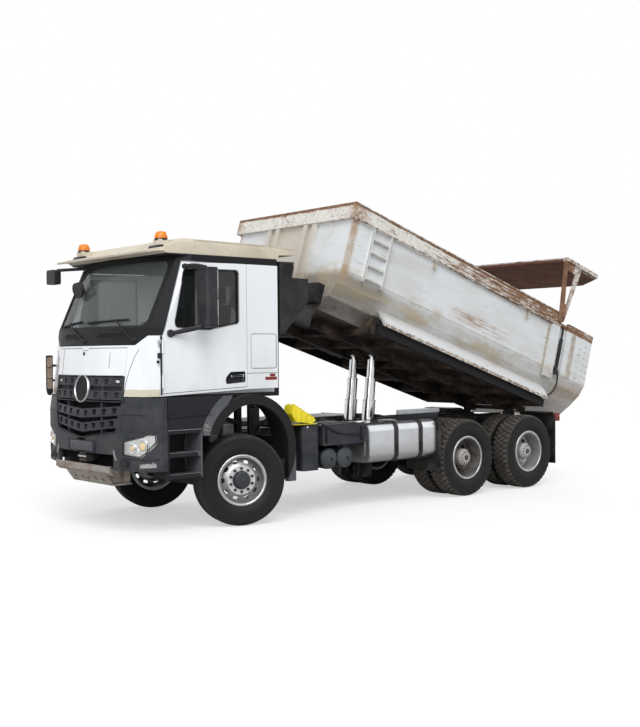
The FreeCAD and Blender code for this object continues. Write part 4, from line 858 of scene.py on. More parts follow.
def wheel_nuts(dark, pale):
    """Nuts, a valve stem, the hub cover of twin wheels and the lip of each outer rim in brighter metal, a
    painted highlight.
    """
    for side, word in SIDES:
        spot, turn = wheel_place(side)
        mirrored = Matrix.Diagonal((1, side, 1, 1))
        front = Matrix.Translation(spot) @ Matrix.Rotation(turn, 4, "Z") @ mirrored
        wheels = [("front_" + word, "front_%s_wheel" % word, front, 0.092, 0.126, 0.130, False)]
        for axle, x in (("middle", MIDDLE_X), ("rear", REAR_X)):
            wheels.append(("%s_%s" % (axle, word), "%s_%s_wheels" % (axle, word),
                           Matrix.Translation(at(x, 0, TYRE_R)) @ mirrored, DUAL_Y + 0.010, DUAL_Y + 0.049,
                           DUAL_OUT_Y + 0.124, True))
        for name, body, place, low, high, lip, twin in wheels:
            shape = Shape("nuts_" + name, dark, "hub_grey", body)
            for number in range(10):
                nut(shape, place, math.radians(36 * number + 18), 0.138, low, high, 0.018)
            if twin:
                for number in range(12):
                    spot = moved(round_point(math.radians(30 * number), 0.080), place)
                    shape.at(spot).domed([(1.186, 0.0095), (1.194, 0.0095), (1.197, 0.006)], 6)
                shape.at(place).spun([(1.188, 0.034), (1.201, 0.034), (1.203, 0.028), (1.200, 0.010)], 24)
            stem = [(0.20, low - 0.03, 0.10), (0.215, low + 0.01, 0.105), (0.235, low + 0.02, 0.112)]
            shape.at(place).pipe(stem, 0.006, 8)
            # Painted highlight: the rim's lip is made in brighter bare metal than the wheel.
            shape = Shape("rim_lip_highlight_" + name, pale, "rim_silver", body, sharp=60)
            outline = [(-0.006, 0.2745), (0.004, 0.277), (0.008, 0.290), (0.006, 0.301), (-0.001, 0.3055),
                       (-0.008, 0.3045)]
            shape.at(place).spun([(lip + out, radius) for out, radius in outline], 64)


# Cab front

def cowl(black, matte):
    """Black panel under the windscreen with two air slots, painted shade inside them, and the seal round the
    glass.
    """
    shape = Shape("cowl_slots", matte, sharp=50)
    for low, high in ((-0.62, -0.17), (0.23, 0.74)):
        rim = [(low, 2.232), (low + 0.07, 2.278), (high - 0.03, 2.272), (high, 2.250), (high - 0.06, 2.218),
               (low + 0.03, 2.214)]
        for first, second in zip(rim, rim[1:] + rim[:1]):
            shape.pipe(on_cab([first, second], 0.002), 0.007, 8)
        for share in (0.3, 0.5, 0.7):
            z = 2.218 + 0.056 * share
            pairs = [(y, z) for y in steps_between(low + 0.05, high - 0.04, 6)]
            shape.ribbon(on_cab(pairs), UP, (1, 0, 0.12), 0.006, 0.009)
    pairs = [(y, 2.343) for y in steps_between(-1.0, 1.0, 21)]
    shape.ribbon(on_cab(pairs), UP, (1, 0, 0.4), 0.022, 0.006, 0.020)
    # Painted shade: near black strips deep in the two air slots.
    shape = Shape("cowl_openings", black)
    for low, high in ((-0.60, -0.19), (0.25, 0.71)):
        pairs = [(y, 2.246) for y in steps_between(low, high, 8)]
        shape.ribbon(on_cab(pairs), UP, (1, 0, 0.12), 0.044, 0.0015)


def wipers(matte):
    """Two wipers lying low on the glass, each with a blade, a holder and an arm from the cowl."""
    def on_glass(y, z, proud):
        return Vector((cab_front(y, z) - 0.018 + proud, y, z))
    shape = Shape("wipers", matte)
    for start, end, pivot, grip in (((-0.80, 2.372), (-0.22, 2.428), (-0.04, 2.185), 0.52),
                                    ((-0.06, 2.408), (0.73, 2.428), (0.88, 2.190), 0.78)):
        spots = [on_glass(*between(start, end, share), 0.020) for share in steps_between(0, 1, 9)]
        shape.pipe(spots, 0.009, 6)
        shape.ribbon(spots, UP, (1, 0, 0.4), 0.010, 0.002, 0.026)
        held = on_glass(*between(start, end, grip), 0) + Vector((0.038, 0, 0.004))
        foot = Vector((cab_front(*pivot) + 0.016, *pivot))
        middle = foot.lerp(held, 0.5) + Vector((0.020, 0, 0))
        shape.pipe([foot, middle, held], 0.010, 8)
        shape.pipe([held, held + Vector((-0.016, 0, 0.002))], 0.011, 8)
        shape.on(foot - Vector((0.030, 0, 0)),
                 (1, 0, 0.1)).domed([(0.0, 0.030), (0.026, 0.028), (0.040, 0.019), (0.048, 0.010)])
        for share in (0.30, 0.70):
            spot = spots[0].lerp(spots[-1], share)
            shape.at(moved(spot + Vector((0.010, 0, 0)))).block(-0.008, 0.008, -0.045, 0.045, -0.010, 0.010)


def flap_trim(black, matte, pale, matte_mesh, rim):
    """Seams of the front panel, the washer nozzle, the clear lenses and the mesh behind the mouths."""
    shape = Shape("flap_seams", black, body="flap")
    for pairs in ([(-0.615, z) for z in steps_between(1.792, 2.098, 8)],
                  [(0.52, z) for z in steps_between(1.875, 2.055, 6)]):
        spots = [(cab_front(y, z), y, z) for y, z in pairs]
        shape.ribbon(spots, LEFT, AHEAD, 0.006, 0.0012)
    spots = [(cab_front(y, 1.789), y, 1.789) for y in steps_between(-0.772, 0.772, 17)]
    shape.ribbon(spots, UP, AHEAD, 0.012, 0.004)
    shape = Shape("washer_nozzle", matte, body="flap")
    spot = (cab_front(-0.01, 2.040) - 0.006, -0.01, 2.040)
    shape.on(spot, (1, 0, -0.1)).domed([(0, 0.016), (0.012, 0.015), (0.017, 0.010), (0.022, 0.008)], 16)
    shape.at(moved(spot)).block(0.004, 0.020, -0.006, 0.006, 0.002, 0.024)
    shape = Shape("flap_backing", matte_mesh, body="flap")
    for z in (1.724, 1.572):
        for row in range(3):
            level = z - 0.020 + 0.020 * row
            for way in (1, -1):
                spots = [(cab_front(y, level) - 0.032, y, level)
                         for y in steps_between(way * 0.19, way * 0.755, 8)]
                shape.ribbon(spots, UP, (1, 0, 0.5), 0.014, 0.003)
    for way in (1, -1):
        spots = [(cab_front(y, 1.645) - 0.050, y, 1.645) for y in steps_between(way * 0.02, way * 0.755, 9)]
        shape.ribbon(spots, UP, AHEAD, 0.262, 0.004, 0.006)
    shape = Shape("round_blank_rim", rim, "rim_silver", "flap", sharp=60)
    ring = aimed((1.4325, 0, 1.642), (1, 0, 0.11))
    outline = [(-0.006, 0.146), (0.006, 0.148), (0.012, 0.154), (0.008, 0.162), (-0.012, 0.165)]
    shape.at(ring).spun(outline, 72)
    shape = Shape("round_blank_ribs", matte, "dark_plastic", "flap", sharp=60)
    for radius in (0.060, 0.108):
        shape.at(ring).spun([(-0.004, radius - 0.004), (0.002, radius - 0.002), (0.002, radius + 0.002),
                             (-0.004, radius + 0.004)], 72)
    shape = Shape("marker_lenses", pale, "lamp_glass", "flap", bevel=0.005)
    for y, size in ((0.66, 0.036), (-0.66, 0.030)):
        spot = (cab_front(y, 1.728) - 0.020, y, 1.728)
        shape.at(moved(spot)).block(-0.008, 0.010, -size, size, -0.016, 0.014)


def grille_backing(matte_mesh, black):
    """Mesh and radiator slats that show through the mouths of the bumper's grille, and a near black sheet of
    painted shade behind them.
    """
    shape = Shape("radiator_mesh", matte_mesh)
    for z in steps_between(1.10, 1.47, 20):
        half = 0.60 + 0.14 * (z - 1.10) / 0.37
        shape.block(1.268, 1.282, -half, half, z - 0.003, z + 0.004)
    for y in steps_between(-0.60, 0.60, 25):
        shape.block(1.262, 1.270, y - 0.003, y + 0.003, 1.10, 1.47)
    # Painted shade: a near black sheet behind the mesh.
    shape = Shape("radiator_back", black, bevel=0.003)
    shape.prism("X", [(-0.62, 1.085), (0.62, 1.085), (0.76, 1.488), (-0.76, 1.488)], 1.236, 1.248)
    shape.block(1.236, 1.248, -0.66, 0.66, 0.715, 1.085)


def lamp_parts(chrome_ring, warm, black):
    """Reflectors and bulbs of the headlamps and the fog lamps, set in their lenses."""
    bright = Shape("lamp_rings", chrome_ring, "lamp_glass", sharp=45)
    glow = Shape("lamp_bulbs", warm, "lamp_glass", sharp=60)
    dark = Shape("lamp_frames", black, sharp=60)
    back = Vector((0.006, 0, 0))
    for side in (1, -1):
        for y, z, radius in ((1.070, 1.012, 0.082), (0.925, 0.985, 0.058)):
            lean = 0.095 + 0.45 * (y - 0.86)
            place = aimed((bumper_front(y) - 0.018, side * y, z), (1, side * lean, 0))
            bright.at(place).spun([(-0.004, radius), (0.010, radius + 0.002), (0.012, radius - 0.004),
                                   (0.004, radius - 0.009)], 40)
            bright.at(place).spun([(-0.004, radius * 0.66), (0.009, radius * 0.68), (0.009, radius * 0.60),
                                   (-0.004, radius * 0.56)], 40)
            for angle in full_turn(12):
                spot = moved(round_point(angle, 1) * radius * 0.80 + Vector((0, 0.004, 0)), place)
                bright.at(spot).domed([(-0.004, 0.006), (0.003, 0.0055), (0.005, 0.003)], 6)
            glow.at(place).domed([(-0.004, radius * 0.56), (0.006, radius * 0.54), (0.010, radius * 0.42),
                                  (0.012, radius * 0.22), (0.013, radius * 0.04)], 28)
        line = [(0.812, 0.912), (0.812, 1.056), (1.186, 1.144), (1.190, 1.060), (1.135, 0.950),
                (1.028, 0.894), (0.812, 0.912)]
        for first, second in zip(line, line[1:]):
            pairs = [between(first, second, share) for share in steps_between(0, 1, 6)]
            dark.pipe([(bumper_front(y) - 0.010, side * y, z) for y, z in pairs], 0.0045, 6)
        rings = []
        for y, low, high in ((0.815, 0.915, 1.053), (0.92, 0.905, 1.078), (1.03, 0.900, 1.105),
                             (1.12, 0.955, 1.126), (1.18, 1.050, 1.140)):
            foot, top = [Vector((bumper_front(y) - 0.030, side * y, z)) for z in (low, high)]
            rings.append([TRUCK @ spot for spot in (foot, top, top - back, foot - back)])
        loft(bright.mesh, rings)
        for z in steps_between(0.93, 1.03, 5):
            spots = [(bumper_front(y) - 0.011, side * y, z) for y in steps_between(0.825, 0.895, 4)]
            bright.ribbon(spots, UP, AHEAD, 0.009, 0.004)
        for y in steps_between(1.03, 1.17, 6):
            spot = (bumper_front(y) - 0.014, side * y, 0.79 + 0.04 * (y - 1.03) / 0.14)
            bright.at(moved(spot)).block(-0.004, 0.006, -0.008, 0.008, -0.014, 0.014)


def plates(plate, pale, matte):
    """Blank number plate, a pale strip of painted highlight across the towing mouth and the bumper's pale end
    pieces.
    """
    shape = Shape("blank_plate", plate, "frame_black", bevel=0.003)
    shape.block(1.444, 1.4515, -0.262, 0.262, 0.925, 1.035)
    shape = Shape("plate_frame", matte, bevel=0.002)
    for y in (-0.300, 0.288):
        shape.block(1.440, 1.453, y, y + 0.012, 0.917, 1.043)
    for z in (0.916, 1.036):
        shape.block(1.440, 1.453, -0.300, 0.300, z, z + 0.009)
    for y in (-0.2, 0.2):
        shape.on((1.449, y, 0.980), AHEAD).domed([(0, 0.008), (0.005, 0.007), (0.007, 0.003)], 8)
    # Painted highlight: a pale metal strip across the towing mouth.
    shape = Shape("highlight_strip", pale, "rim_silver", bevel=0.002)
    shape.block(1.433, 1.440, -0.095, 0.095, 0.842, 0.862)
    shape = Shape("bumper_end_pieces", pale, "rim_silver", bevel=0.003)
    for side in (1, -1):
        spots = [(bumper_front(0.665) + 0.001, side * 0.662, 0.955),
                 (bumper_front(0.68) + 0.002, side * 0.672, 0.90),
                 (bumper_front(0.70) + 0.002, side * 0.700, 0.845)]
        shape.ribbon(spots, (0, 1, 0.2), AHEAD, 0.022, 0.008, 0.010)


def bumper_trim(matte):
    """Creases and seams of the bumper and the steps below its corners."""
    shape = Shape("bumper_creases", matte, "dark_plastic", sharp=50)
    for side in (1, -1):
        spots = [(bumper_front(y), side * y, 1.362 - 0.02 * (y - 0.80))
                 for y in steps_between(0.80, 1.145, 10)]
        shape.ribbon(spots, UP, AHEAD, 0.010, 0.003)
        spots = [(bumper_front(y), side * y, 1.175 - 0.02 * (1.2 - y))
                 for y in steps_between(0.79, 1.21, 12)]
        shape.ribbon(spots, UP, AHEAD, 0.005, 0.0012)
        spots = [(bumper_front(y), side * y, 0.868) for y in steps_between(0.80, 1.21, 12)]
        shape.ribbon(spots, UP, AHEAD, 0.012, 0.003)
        shape.prism("Y", [(1.300, 0.79), (1.385, 0.79), (1.378, 0.850), (1.300, 0.850)],
                    side * 0.76, side * 0.90)
    spots = [(bumper_front(y) + 0.001, y, 1.075 + 0.085 * abs(y) / 0.68)
             for y in steps_between(-0.67, 0.67, 31)]
    shape.ribbon(spots, UP, AHEAD, 0.014, 0.006)


def corner_panels(black, pale, matte):
    """Curved corner panels beside the front panel: their seams, locks and hinges."""
    seam = Shape("corner_seams", black)
    bits = Shape("corner_hinges", pale, "rim_silver", bevel=0.004)
    dark = Shape("corner_locks", matte, bevel=0.004)
    for side in (1, -1):
        rise = [(0.800, 1.560), (0.815, 1.700), (0.850, 1.850), (0.905, 2.000), (0.960, 2.090)]
        finer = [between(first, second, share) for first, second in zip(rise, rise[1:])
                 for share in (0, 0.34, 0.67)] + [rise[-1]]
        spots = [(cab_front(y, z), side * y, z) for y, z in finer]
        seam.ribbon(spots, LEFT, (1, side * 0.15, 0), 0.007, 0.0015)
        bits.block(1.072, 1.102, side * 1.128, side * 1.158, 2.148, 2.196)
        bits.on((1.087, side * 1.143, 2.120), UP).domed([(0, 0.012), (0.085, 0.012)], 14)
        dark.block(1.076, 1.104, side * 1.126, side * 1.156, 1.985, 2.045)
        dark.block(1.088, 1.112, side * 1.120, side * 1.150, 1.930, 1.962)
        bits.on((1.094, side * 1.140, 1.900), UP).domed([(0, 0.007), (0.030, 0.007)], 10)
        spots = [(1.067, side * 1.1505, z) for z in steps_between(1.575, 2.235, 8)]
        seam.ribbon(spots, AHEAD, (0, side, 0), 0.022, 0.001)


def rounded_line(points, radius, count=5):
    """A closed outline with each corner replaced by a short arc."""
    line = []
    total = len(points)
    for number in range(total):
        corner = Vector(points[number])
        before = (Vector(points[number - 1]) - corner).normalized()
        after = (Vector(points[(number + 1) % total]) - corner).normalized()
        start, end = corner + before * radius, corner + after * radius
        for share in steps_between(0, 1, count):
            line.append((1 - share) ** 2 * start + 2 * share * (1 - share) * corner + share ** 2 * end)
    return line


def door_ring(shape, side, line, middle, inner, outer, depths):
    """A ring along an outline on a door. Its section has two corners inside the line and two outside."""
    rings = []
    for point in line:
        inward = (Vector(middle) - point).normalized()
        near, far = point + inward * inner, point - inward * outer
        rings.append([TRUCK @ Vector((spot.x, side * y, spot.y))
                      for spot, y in zip((near, near, far, far), depths)])
    loft(shape.mesh, rings, closed=True)


def window_seals(rubber_black):
    """Black rubber round each door's window, and the strips along the foot of the cab."""
    window = [(0.0, 2.385), (0.430, 2.305), (0.870, 2.330), (0.885, 2.395), (0.750, 2.995), (0.0, 3.005)]
    for side, word in SIDES:
        shape = Shape("window_seal_" + word, rubber_black, body=word + "_door", sharp=50)
        door_ring(shape, side, rounded_line(window, 0.045), (0.45, 2.66), 0.020, 0.008,
                  (1.124, 1.138, 1.1525, 1.140))
    shape = Shape("cab_sills", rubber_black, bevel=0.004)
    for side in (1, -1):
        shape.block(-0.560, 1.130, side * 1.060, side * 1.132, 1.530, 1.566)


def door_trim(matte, mirror_face):
    """Handle bar in its recess, the mirrors' glass, their seams and arm joints."""
    for side, word in SIDES:
        shape = Shape("handle_recess_" + word, matte, body=word + "_door", sharp=40)
        rim = rounded_line([(-0.085, 1.695), (0.190, 1.677), (0.196, 1.745), (0.128, 1.817), (-0.085, 1.821)],
                           0.022)
        door_ring(shape, side, rim, (0.05, 1.75), 0.012, 0.0, (1.130, 1.151, 1.1535, 1.146))
        floor = rounded_line([(-0.080, 1.700), (0.183, 1.682), (0.189, 1.745), (0.124, 1.811),
                              (-0.080, 1.815)], 0.020)
        shape.prism("Y", floor, side * 1.110, side * 1.1155)
        shape = Shape("handle_bar_" + word, matte, body=word + "_door", sharp=60)
        bar = [(-0.078, 1.122, 1.772), (-0.05, 1.145, 1.773), (0.09, 1.147, 1.768), (0.118, 1.122, 1.766)]
        shape.pipe([(x, side * y, z) for x, y, z in bar], 0.010, 10)
        shape = Shape("mirror_glass_" + word, mirror_face, "hoist_chrome", word + "_door", bevel=0.006)
        for low, high in ((2.350, 2.640), (2.655, 2.985)):
            shape.block(0.494, 0.501, side * 1.262, side * 1.442, low, high)
        shape = Shape("mirror_joints_" + word, matte, body=word + "_door", sharp=50)
        outline = rounded_line([(x, side * y)
                                for x, y in ((0.497, 1.232), (0.663, 1.232), (0.663, 1.473), (0.497, 1.473))],
                               0.045)
        for z in (2.350, 2.975):
            shape.prism("Z", outline, z - 0.004, z + 0.004)
        shape.on((0.640, side * 1.330, 2.300), UP).domed([(0, 0.024), (0.034, 0.026), (0.046, 0.018)])
        shape.on((0.590, side * 1.330, 2.985), UP).domed([(0, 0.020), (0.030, 0.022), (0.040, 0.014)])
        shape.on((0.735, side * 1.125, 3.020),
                 (0, side, 0)).domed([(0, 0.034), (0.030, 0.032), (0.038, 0.020)])
        shape.on((0.945, side * 1.145, 2.262),
                 (0, side, 0)).domed([(0, 0.044), (0.022, 0.042), (0.034, 0.026)])
        for arm in ([(0.735, 1.150, 3.020), (0.66, 1.24, 3.03), (0.600, 1.330, 3.005)],
                    [(0.945, 1.160, 2.262), (0.80, 1.24, 2.290), (0.645, 1.330, 2.330)]):
            shape.pipe([(x, side * y, z) for x, y, z in arm], 0.024, 10)


def roof_trim(amber, matte, beige):
    """Amber beacon lenses, seals and rivets of the roof, and the dark pockets under its beacons."""
    shape = Shape("beacon_lenses", amber, "roof_beige", sharp=50)
    for side in (1, -1):
        place = aimed((0.895, side * 0.900, 3.342), UP)
        shape.at(place).domed([(0, 0.070), (0.030, 0.071), (0.052, 0.067), (0.068, 0.056), (0.079, 0.038),
                               (0.0835, 0.014)], 48)
        for angle in full_turn(24):
            turned = place @ Matrix.Rotation(angle, 4, "Y")
            shape.at(turned).block(0.068, 0.0735, 0.004, 0.034, -0.003, 0.003)
    shape = Shape("beacon_bases", matte, sharp=50)
    for side in (1, -1):
        place = aimed((0.895, side * 0.900, 3.322), UP)
        shape.at(place).spun([(0, 0.052), (0, 0.076), (0.018, 0.076), (0.022, 0.070), (0.022, 0.052)], 40)
        shape.prism("Y", [(0.905, 3.246), (1.035, 3.205), (0.985, 3.262), (0.930, 3.268)],
                    side * 0.800, side * 0.985)
    spots = [(x, 1.1215, 3.153) for x in steps_between(-0.56, 0.93, 6)]
    for side in (1, -1):
        shape.ribbon([(x, side * y, z) for x, y, z in spots], UP, (0, side, 0), 0.010, 0.012, 0.02)
    shape = Shape("roof_rivets", beige, "roof_beige", sharp=50)
    for side in (1, -1):
        for x in steps_between(-0.80, 0.60, 7):
            shape.on((x, side * 1.118, 3.250),
                     (0, side, 0)).domed([(0, 0.010), (0.004, 0.009), (0.006, 0.004)], 10)
        spots = [(-0.895, side * 1.1205, 3.292), (-0.52, side * 1.1205, 3.318), (0.60, side * 1.1205, 3.330)]
        shape.ribbon(spots, UP, (0, side, 0), 0.006, 0.003)
    for y in steps_between(-1.0, 1.0, 9):
        shape.on((1.060, y, 3.212), (0.25, 0, 1)).domed([(0, 0.011), (0.006, 0.010), (0.009, 0.005)], 10)


def far_board(brown, matte):
    """Slim upright board at the right front corner of the cab, in three panels with a dark foot."""
    shape = Shape("corner_board", brown, "rusty_steel")
    for low, high in ((1.610, 1.735), (1.745, 1.870), (1.880, 2.005)):
        shape.prism("Y", rounded_line([(1.226, low), (1.300, low), (1.300, high), (1.226, high)], 0.008),
                    -1.138, -1.166)
    shape = Shape("corner_board_foot", matte, bevel=0.003)
    shape.prism("Y", rounded_line([(1.216, 1.560), (1.250, 1.525), (1.290, 1.535), (1.308, 1.600),
                                   (1.308, 2.030), (1.216, 2.030)], 0.016), -1.145, -1.160)
    shape.block(1.130, 1.235, -1.120, -1.150, 1.700, 1.730)
    shape.block(1.130, 1.235, -1.120, -1.150, 1.885, 1.915)


# Cab side, steps and equipment

def side_trim(red, pale, bright):
    """The bare sticker, step grips and chock ribs."""
    shape = Shape("bare_sticker", red, "lamp_red")
    shape.block(-0.560, -0.385, 1.1495, 1.1515, 1.712, 1.748)
    shape.block(-0.535, -0.455, 1.1495, 1.1515, 1.752, 1.786)
    shape = Shape("step_grips", pale, "worn_steel")
    for side in (1, -1):
        for z in (0.685, 0.925, 1.185):
            for x in steps_between(0.61, 1.00, 14):
                shape.block(x - 0.006, x + 0.006, side * 1.05, side * 1.21, z, z + 0.006)
        shape.ribbon([(0.580, side * 1.2155, 1.186), (1.035, side * 1.2155, 1.186)], UP,
                     (0, side, 0), 0.012, 0.004)
    shape = Shape("chock_ribs", bright, "safety_yellow", bevel=0.003)
    for y in (1.040, 1.130):
        for share in steps_between(0.08, 0.92, 7):
            x = -1.120 + 0.350 * share
            z = 1.200 + 0.195 * share
            shape.prism("Y", [(x - 0.012, z - 0.010), (x + 0.014, z + 0.006), (x - 0.004, z + 0.030)],
                        y + 0.004, y + 0.074)
        for low, high in (((-1.06, 1.19), (-1.02, 1.235)), ((-0.99, 1.185), (-0.93, 1.275)),
                          ((-0.90, 1.185), (-0.84, 1.320)), ((-0.815, 1.21), (-0.785, 1.350))):
            shape.block(low[0], high[0], y - 0.003, y + 0.081, low[1], high[1])


def tank_trim(pale, matte):
    """Filler cap, end seams and strap bolts of the fuel tank."""
    shape = Shape("tank_cap", matte, sharp=45)
    cap = aimed((-2.300, 1.010, 1.085), (0, 0.55, 1))
    shape.at(cap).domed([(0, 0.060), (0.030, 0.060), (0.036, 0.052), (0.044, 0.050), (0.050, 0.030)], 32)
    for angle in full_turn(16):
        shape.at(cap @ Matrix.Rotation(angle, 4, "Y")).block(0.058, 0.063, 0.004, 0.028, -0.004, 0.004)
    shape = Shape("tank_ends", pale, "tank_aluminium", bevel=0.004)
    outline = rounded_line([(0.566, 0.596), (1.186, 0.596), (1.186, 1.104), (0.566, 1.104)], 0.115, 9)
    for x0, x1 in ((-2.048, -2.034), (-3.296, -3.282)):
        shape.prism("X", outline, x0, x1)
    inner = rounded_line([(0.640, 0.670), (1.112, 0.670), (1.112, 1.030), (0.640, 1.030)], 0.080, 7)
    shape.prism("X", inner, -2.036, -2.026)
    shape.prism("X", inner, -3.304, -3.294)
    shape = Shape("strap_bolts", matte, "frame_black")
    for x in (-2.53, -2.99):
        shape.block(x - 0.012, x + 0.012, 1.195, 1.215, 0.72, 0.80)
        shape.on((x, 1.207, 0.70), UP).domed([(0, 0.008), (0.12, 0.008)], 8)
        shape.on((x, 1.207, 0.80), UP).domed([(0, 0.014), (0.014, 0.014)], 6)


def small_lines(matte, grey, black):
    """Air lines, the tank's valves, the cap of the additive tank and hoses along the frame."""
    shape = Shape("air_lines", matte, sharp=60)
    for radius, points in (
            (0.014, [(-1.06, 1.02, 1.13), (-1.07, 1.02, 1.24), (-0.98, 0.90, 1.30), (-0.80, 0.62, 1.22),
                     (-0.74, 0.47, 1.05)]),
            (0.010, [(-1.44, 1.03, 0.82), (-1.44, 0.98, 0.865), (-1.56, 0.80, 0.90), (-1.66, 0.48, 0.93)]),
            (0.010, [(-1.712, 1.03, 0.82), (-1.72, 0.98, 0.865), (-1.80, 0.70, 0.91), (-1.9, 0.47, 0.95)]),
            (0.009, [(-1.20, 1.12, 1.125), (-1.24, 1.15, 1.155), (-1.36, 1.16, 1.10), (-1.55, 1.15, 1.00),
                     (-1.98, 1.15, 0.97)])):
        shape.pipe(points, radius)
    for y, z in ((0.405, 1.064), (0.365, 1.062), (-0.38, 1.064)):
        shape.pipe([(-0.9, y, z), (-2.4, y + 0.01, z), (-3.6, y, z), (-5.6, y - 0.01, z)], 0.012)
    shape.pipe([(-2.62, 0.36, 1.00), (-2.58, 0.35, 1.06), (-2.40, 0.33, 1.075), (-1.9, 0.33, 1.07),
                (-1.3, 0.30, 1.00)], 0.020)
    for x in (-1.5, -2.1, -2.7, -3.3, -4.4, -5.0):
        shape.block(x - 0.015, x + 0.015, 0.34, 0.43, 1.048, 1.084)
    shape = Shape("additive_cap", grey, "rim_silver", sharp=50)
    shape.on((-1.045, 1.070, 1.140), (0, 0.2, 1)).domed([(0, 0.045), (0.030, 0.045), (0.040, 0.036)])
    shape.on((-1.00, 1.150, 1.10), (0, 1, 0.4)).domed([(0, 0.018), (0.045, 0.016), (0.055, 0.008)], 12)
    shape = Shape("tank_bands", black, "frame_black", bevel=0.002)
    for x in (-1.440, -1.712):
        for y in (0.70, 1.02):
            shape.on((x, y, 0.690), LEFT).spun([(0, 0.129), (0, 0.134), (0.030, 0.134), (0.030, 0.129)], 40)
        shape.on((x, 1.128, 0.690), LEFT).domed([(-0.01, 0.016), (0.014, 0.016), (0.018, 0.012)], 6)
    for row in range(4):
        y = 0.52 + 0.2 * row
        shape.block(-2.014, -1.286, y, y + 0.02, 1.118, 1.126)
    for x in (-1.95, -1.35):
        shape.block(x - 0.02, x + 0.02, 1.138, 1.150, 0.90, 1.08)


def grey_bar(grey, black):
    """Light grey box tube that lies above the frame rail beside the fuel tank."""
    shape = Shape("grey_bar", grey, "tank_aluminium", bevel=0.006)
    shape.block(-3.510, -2.715, 1.000, 1.050, 1.190, 1.250)
    shape = Shape("bar_stand", black, "frame_black", bevel=0.002)
    shape.block(-3.500, -2.725, 1.008, 1.036, 1.080, 1.196)
    for x in (-3.48, -3.12, -2.76):
        shape.block(x - 0.012, x + 0.012, 0.960, 1.010, 1.080, 1.190)


def engine_parts(matte, grey):
    """What shows inside the wheel arch and between cab and body: hoses, filters and pipes."""
    shape = Shape("engine_hoses", matte, sharp=60)
    for radius, sides, points in (
            (0.030, 14, [(0.35, 0.46, 1.12), (0.18, 0.60, 1.22), (-0.08, 0.66, 1.26), (-0.40, 0.52, 1.18)]),
            (0.014, 10, [(0.30, 0.50, 0.98), (0.10, 0.60, 1.06), (-0.20, 0.55, 1.02), (-0.45, 0.48, 0.96)]),
            (0.028, 14, [(-0.64, 0.55, 1.35), (-0.72, 0.45, 1.60), (-0.74, 0.35, 1.95), (-0.70, 0.30, 2.2)]),
            (0.016, 10, [(-0.66, -0.25, 1.20), (-0.80, -0.20, 1.42), (-0.78, -0.10, 1.80),
                         (-0.62, -0.10, 2.05)]),
            (0.016, 10, [(-0.66, -0.15, 1.15), (-0.86, -0.10, 1.38), (-0.84, 0.00, 1.76),
                         (-0.62, 0.02, 2.00)])):
        shape.pipe(points, radius, sides)
    shape = Shape("engine_filters", grey, "hub_grey", bevel=0.006)
    shape.on((-0.02, 0.58, 0.96), UP).domed([(0, 0.050), (0.03, 0.056), (0.15, 0.056), (0.17, 0.046)], 28)
    shape.on((0.22, 0.56, 1.02),
             (0.2, 0, 1)).domed([(0, 0.040), (0.02, 0.045), (0.11, 0.045), (0.13, 0.03)], 28)
    shape.block(-0.30, -0.14, 0.48, 0.62, 1.02, 1.16)


# Tipped body

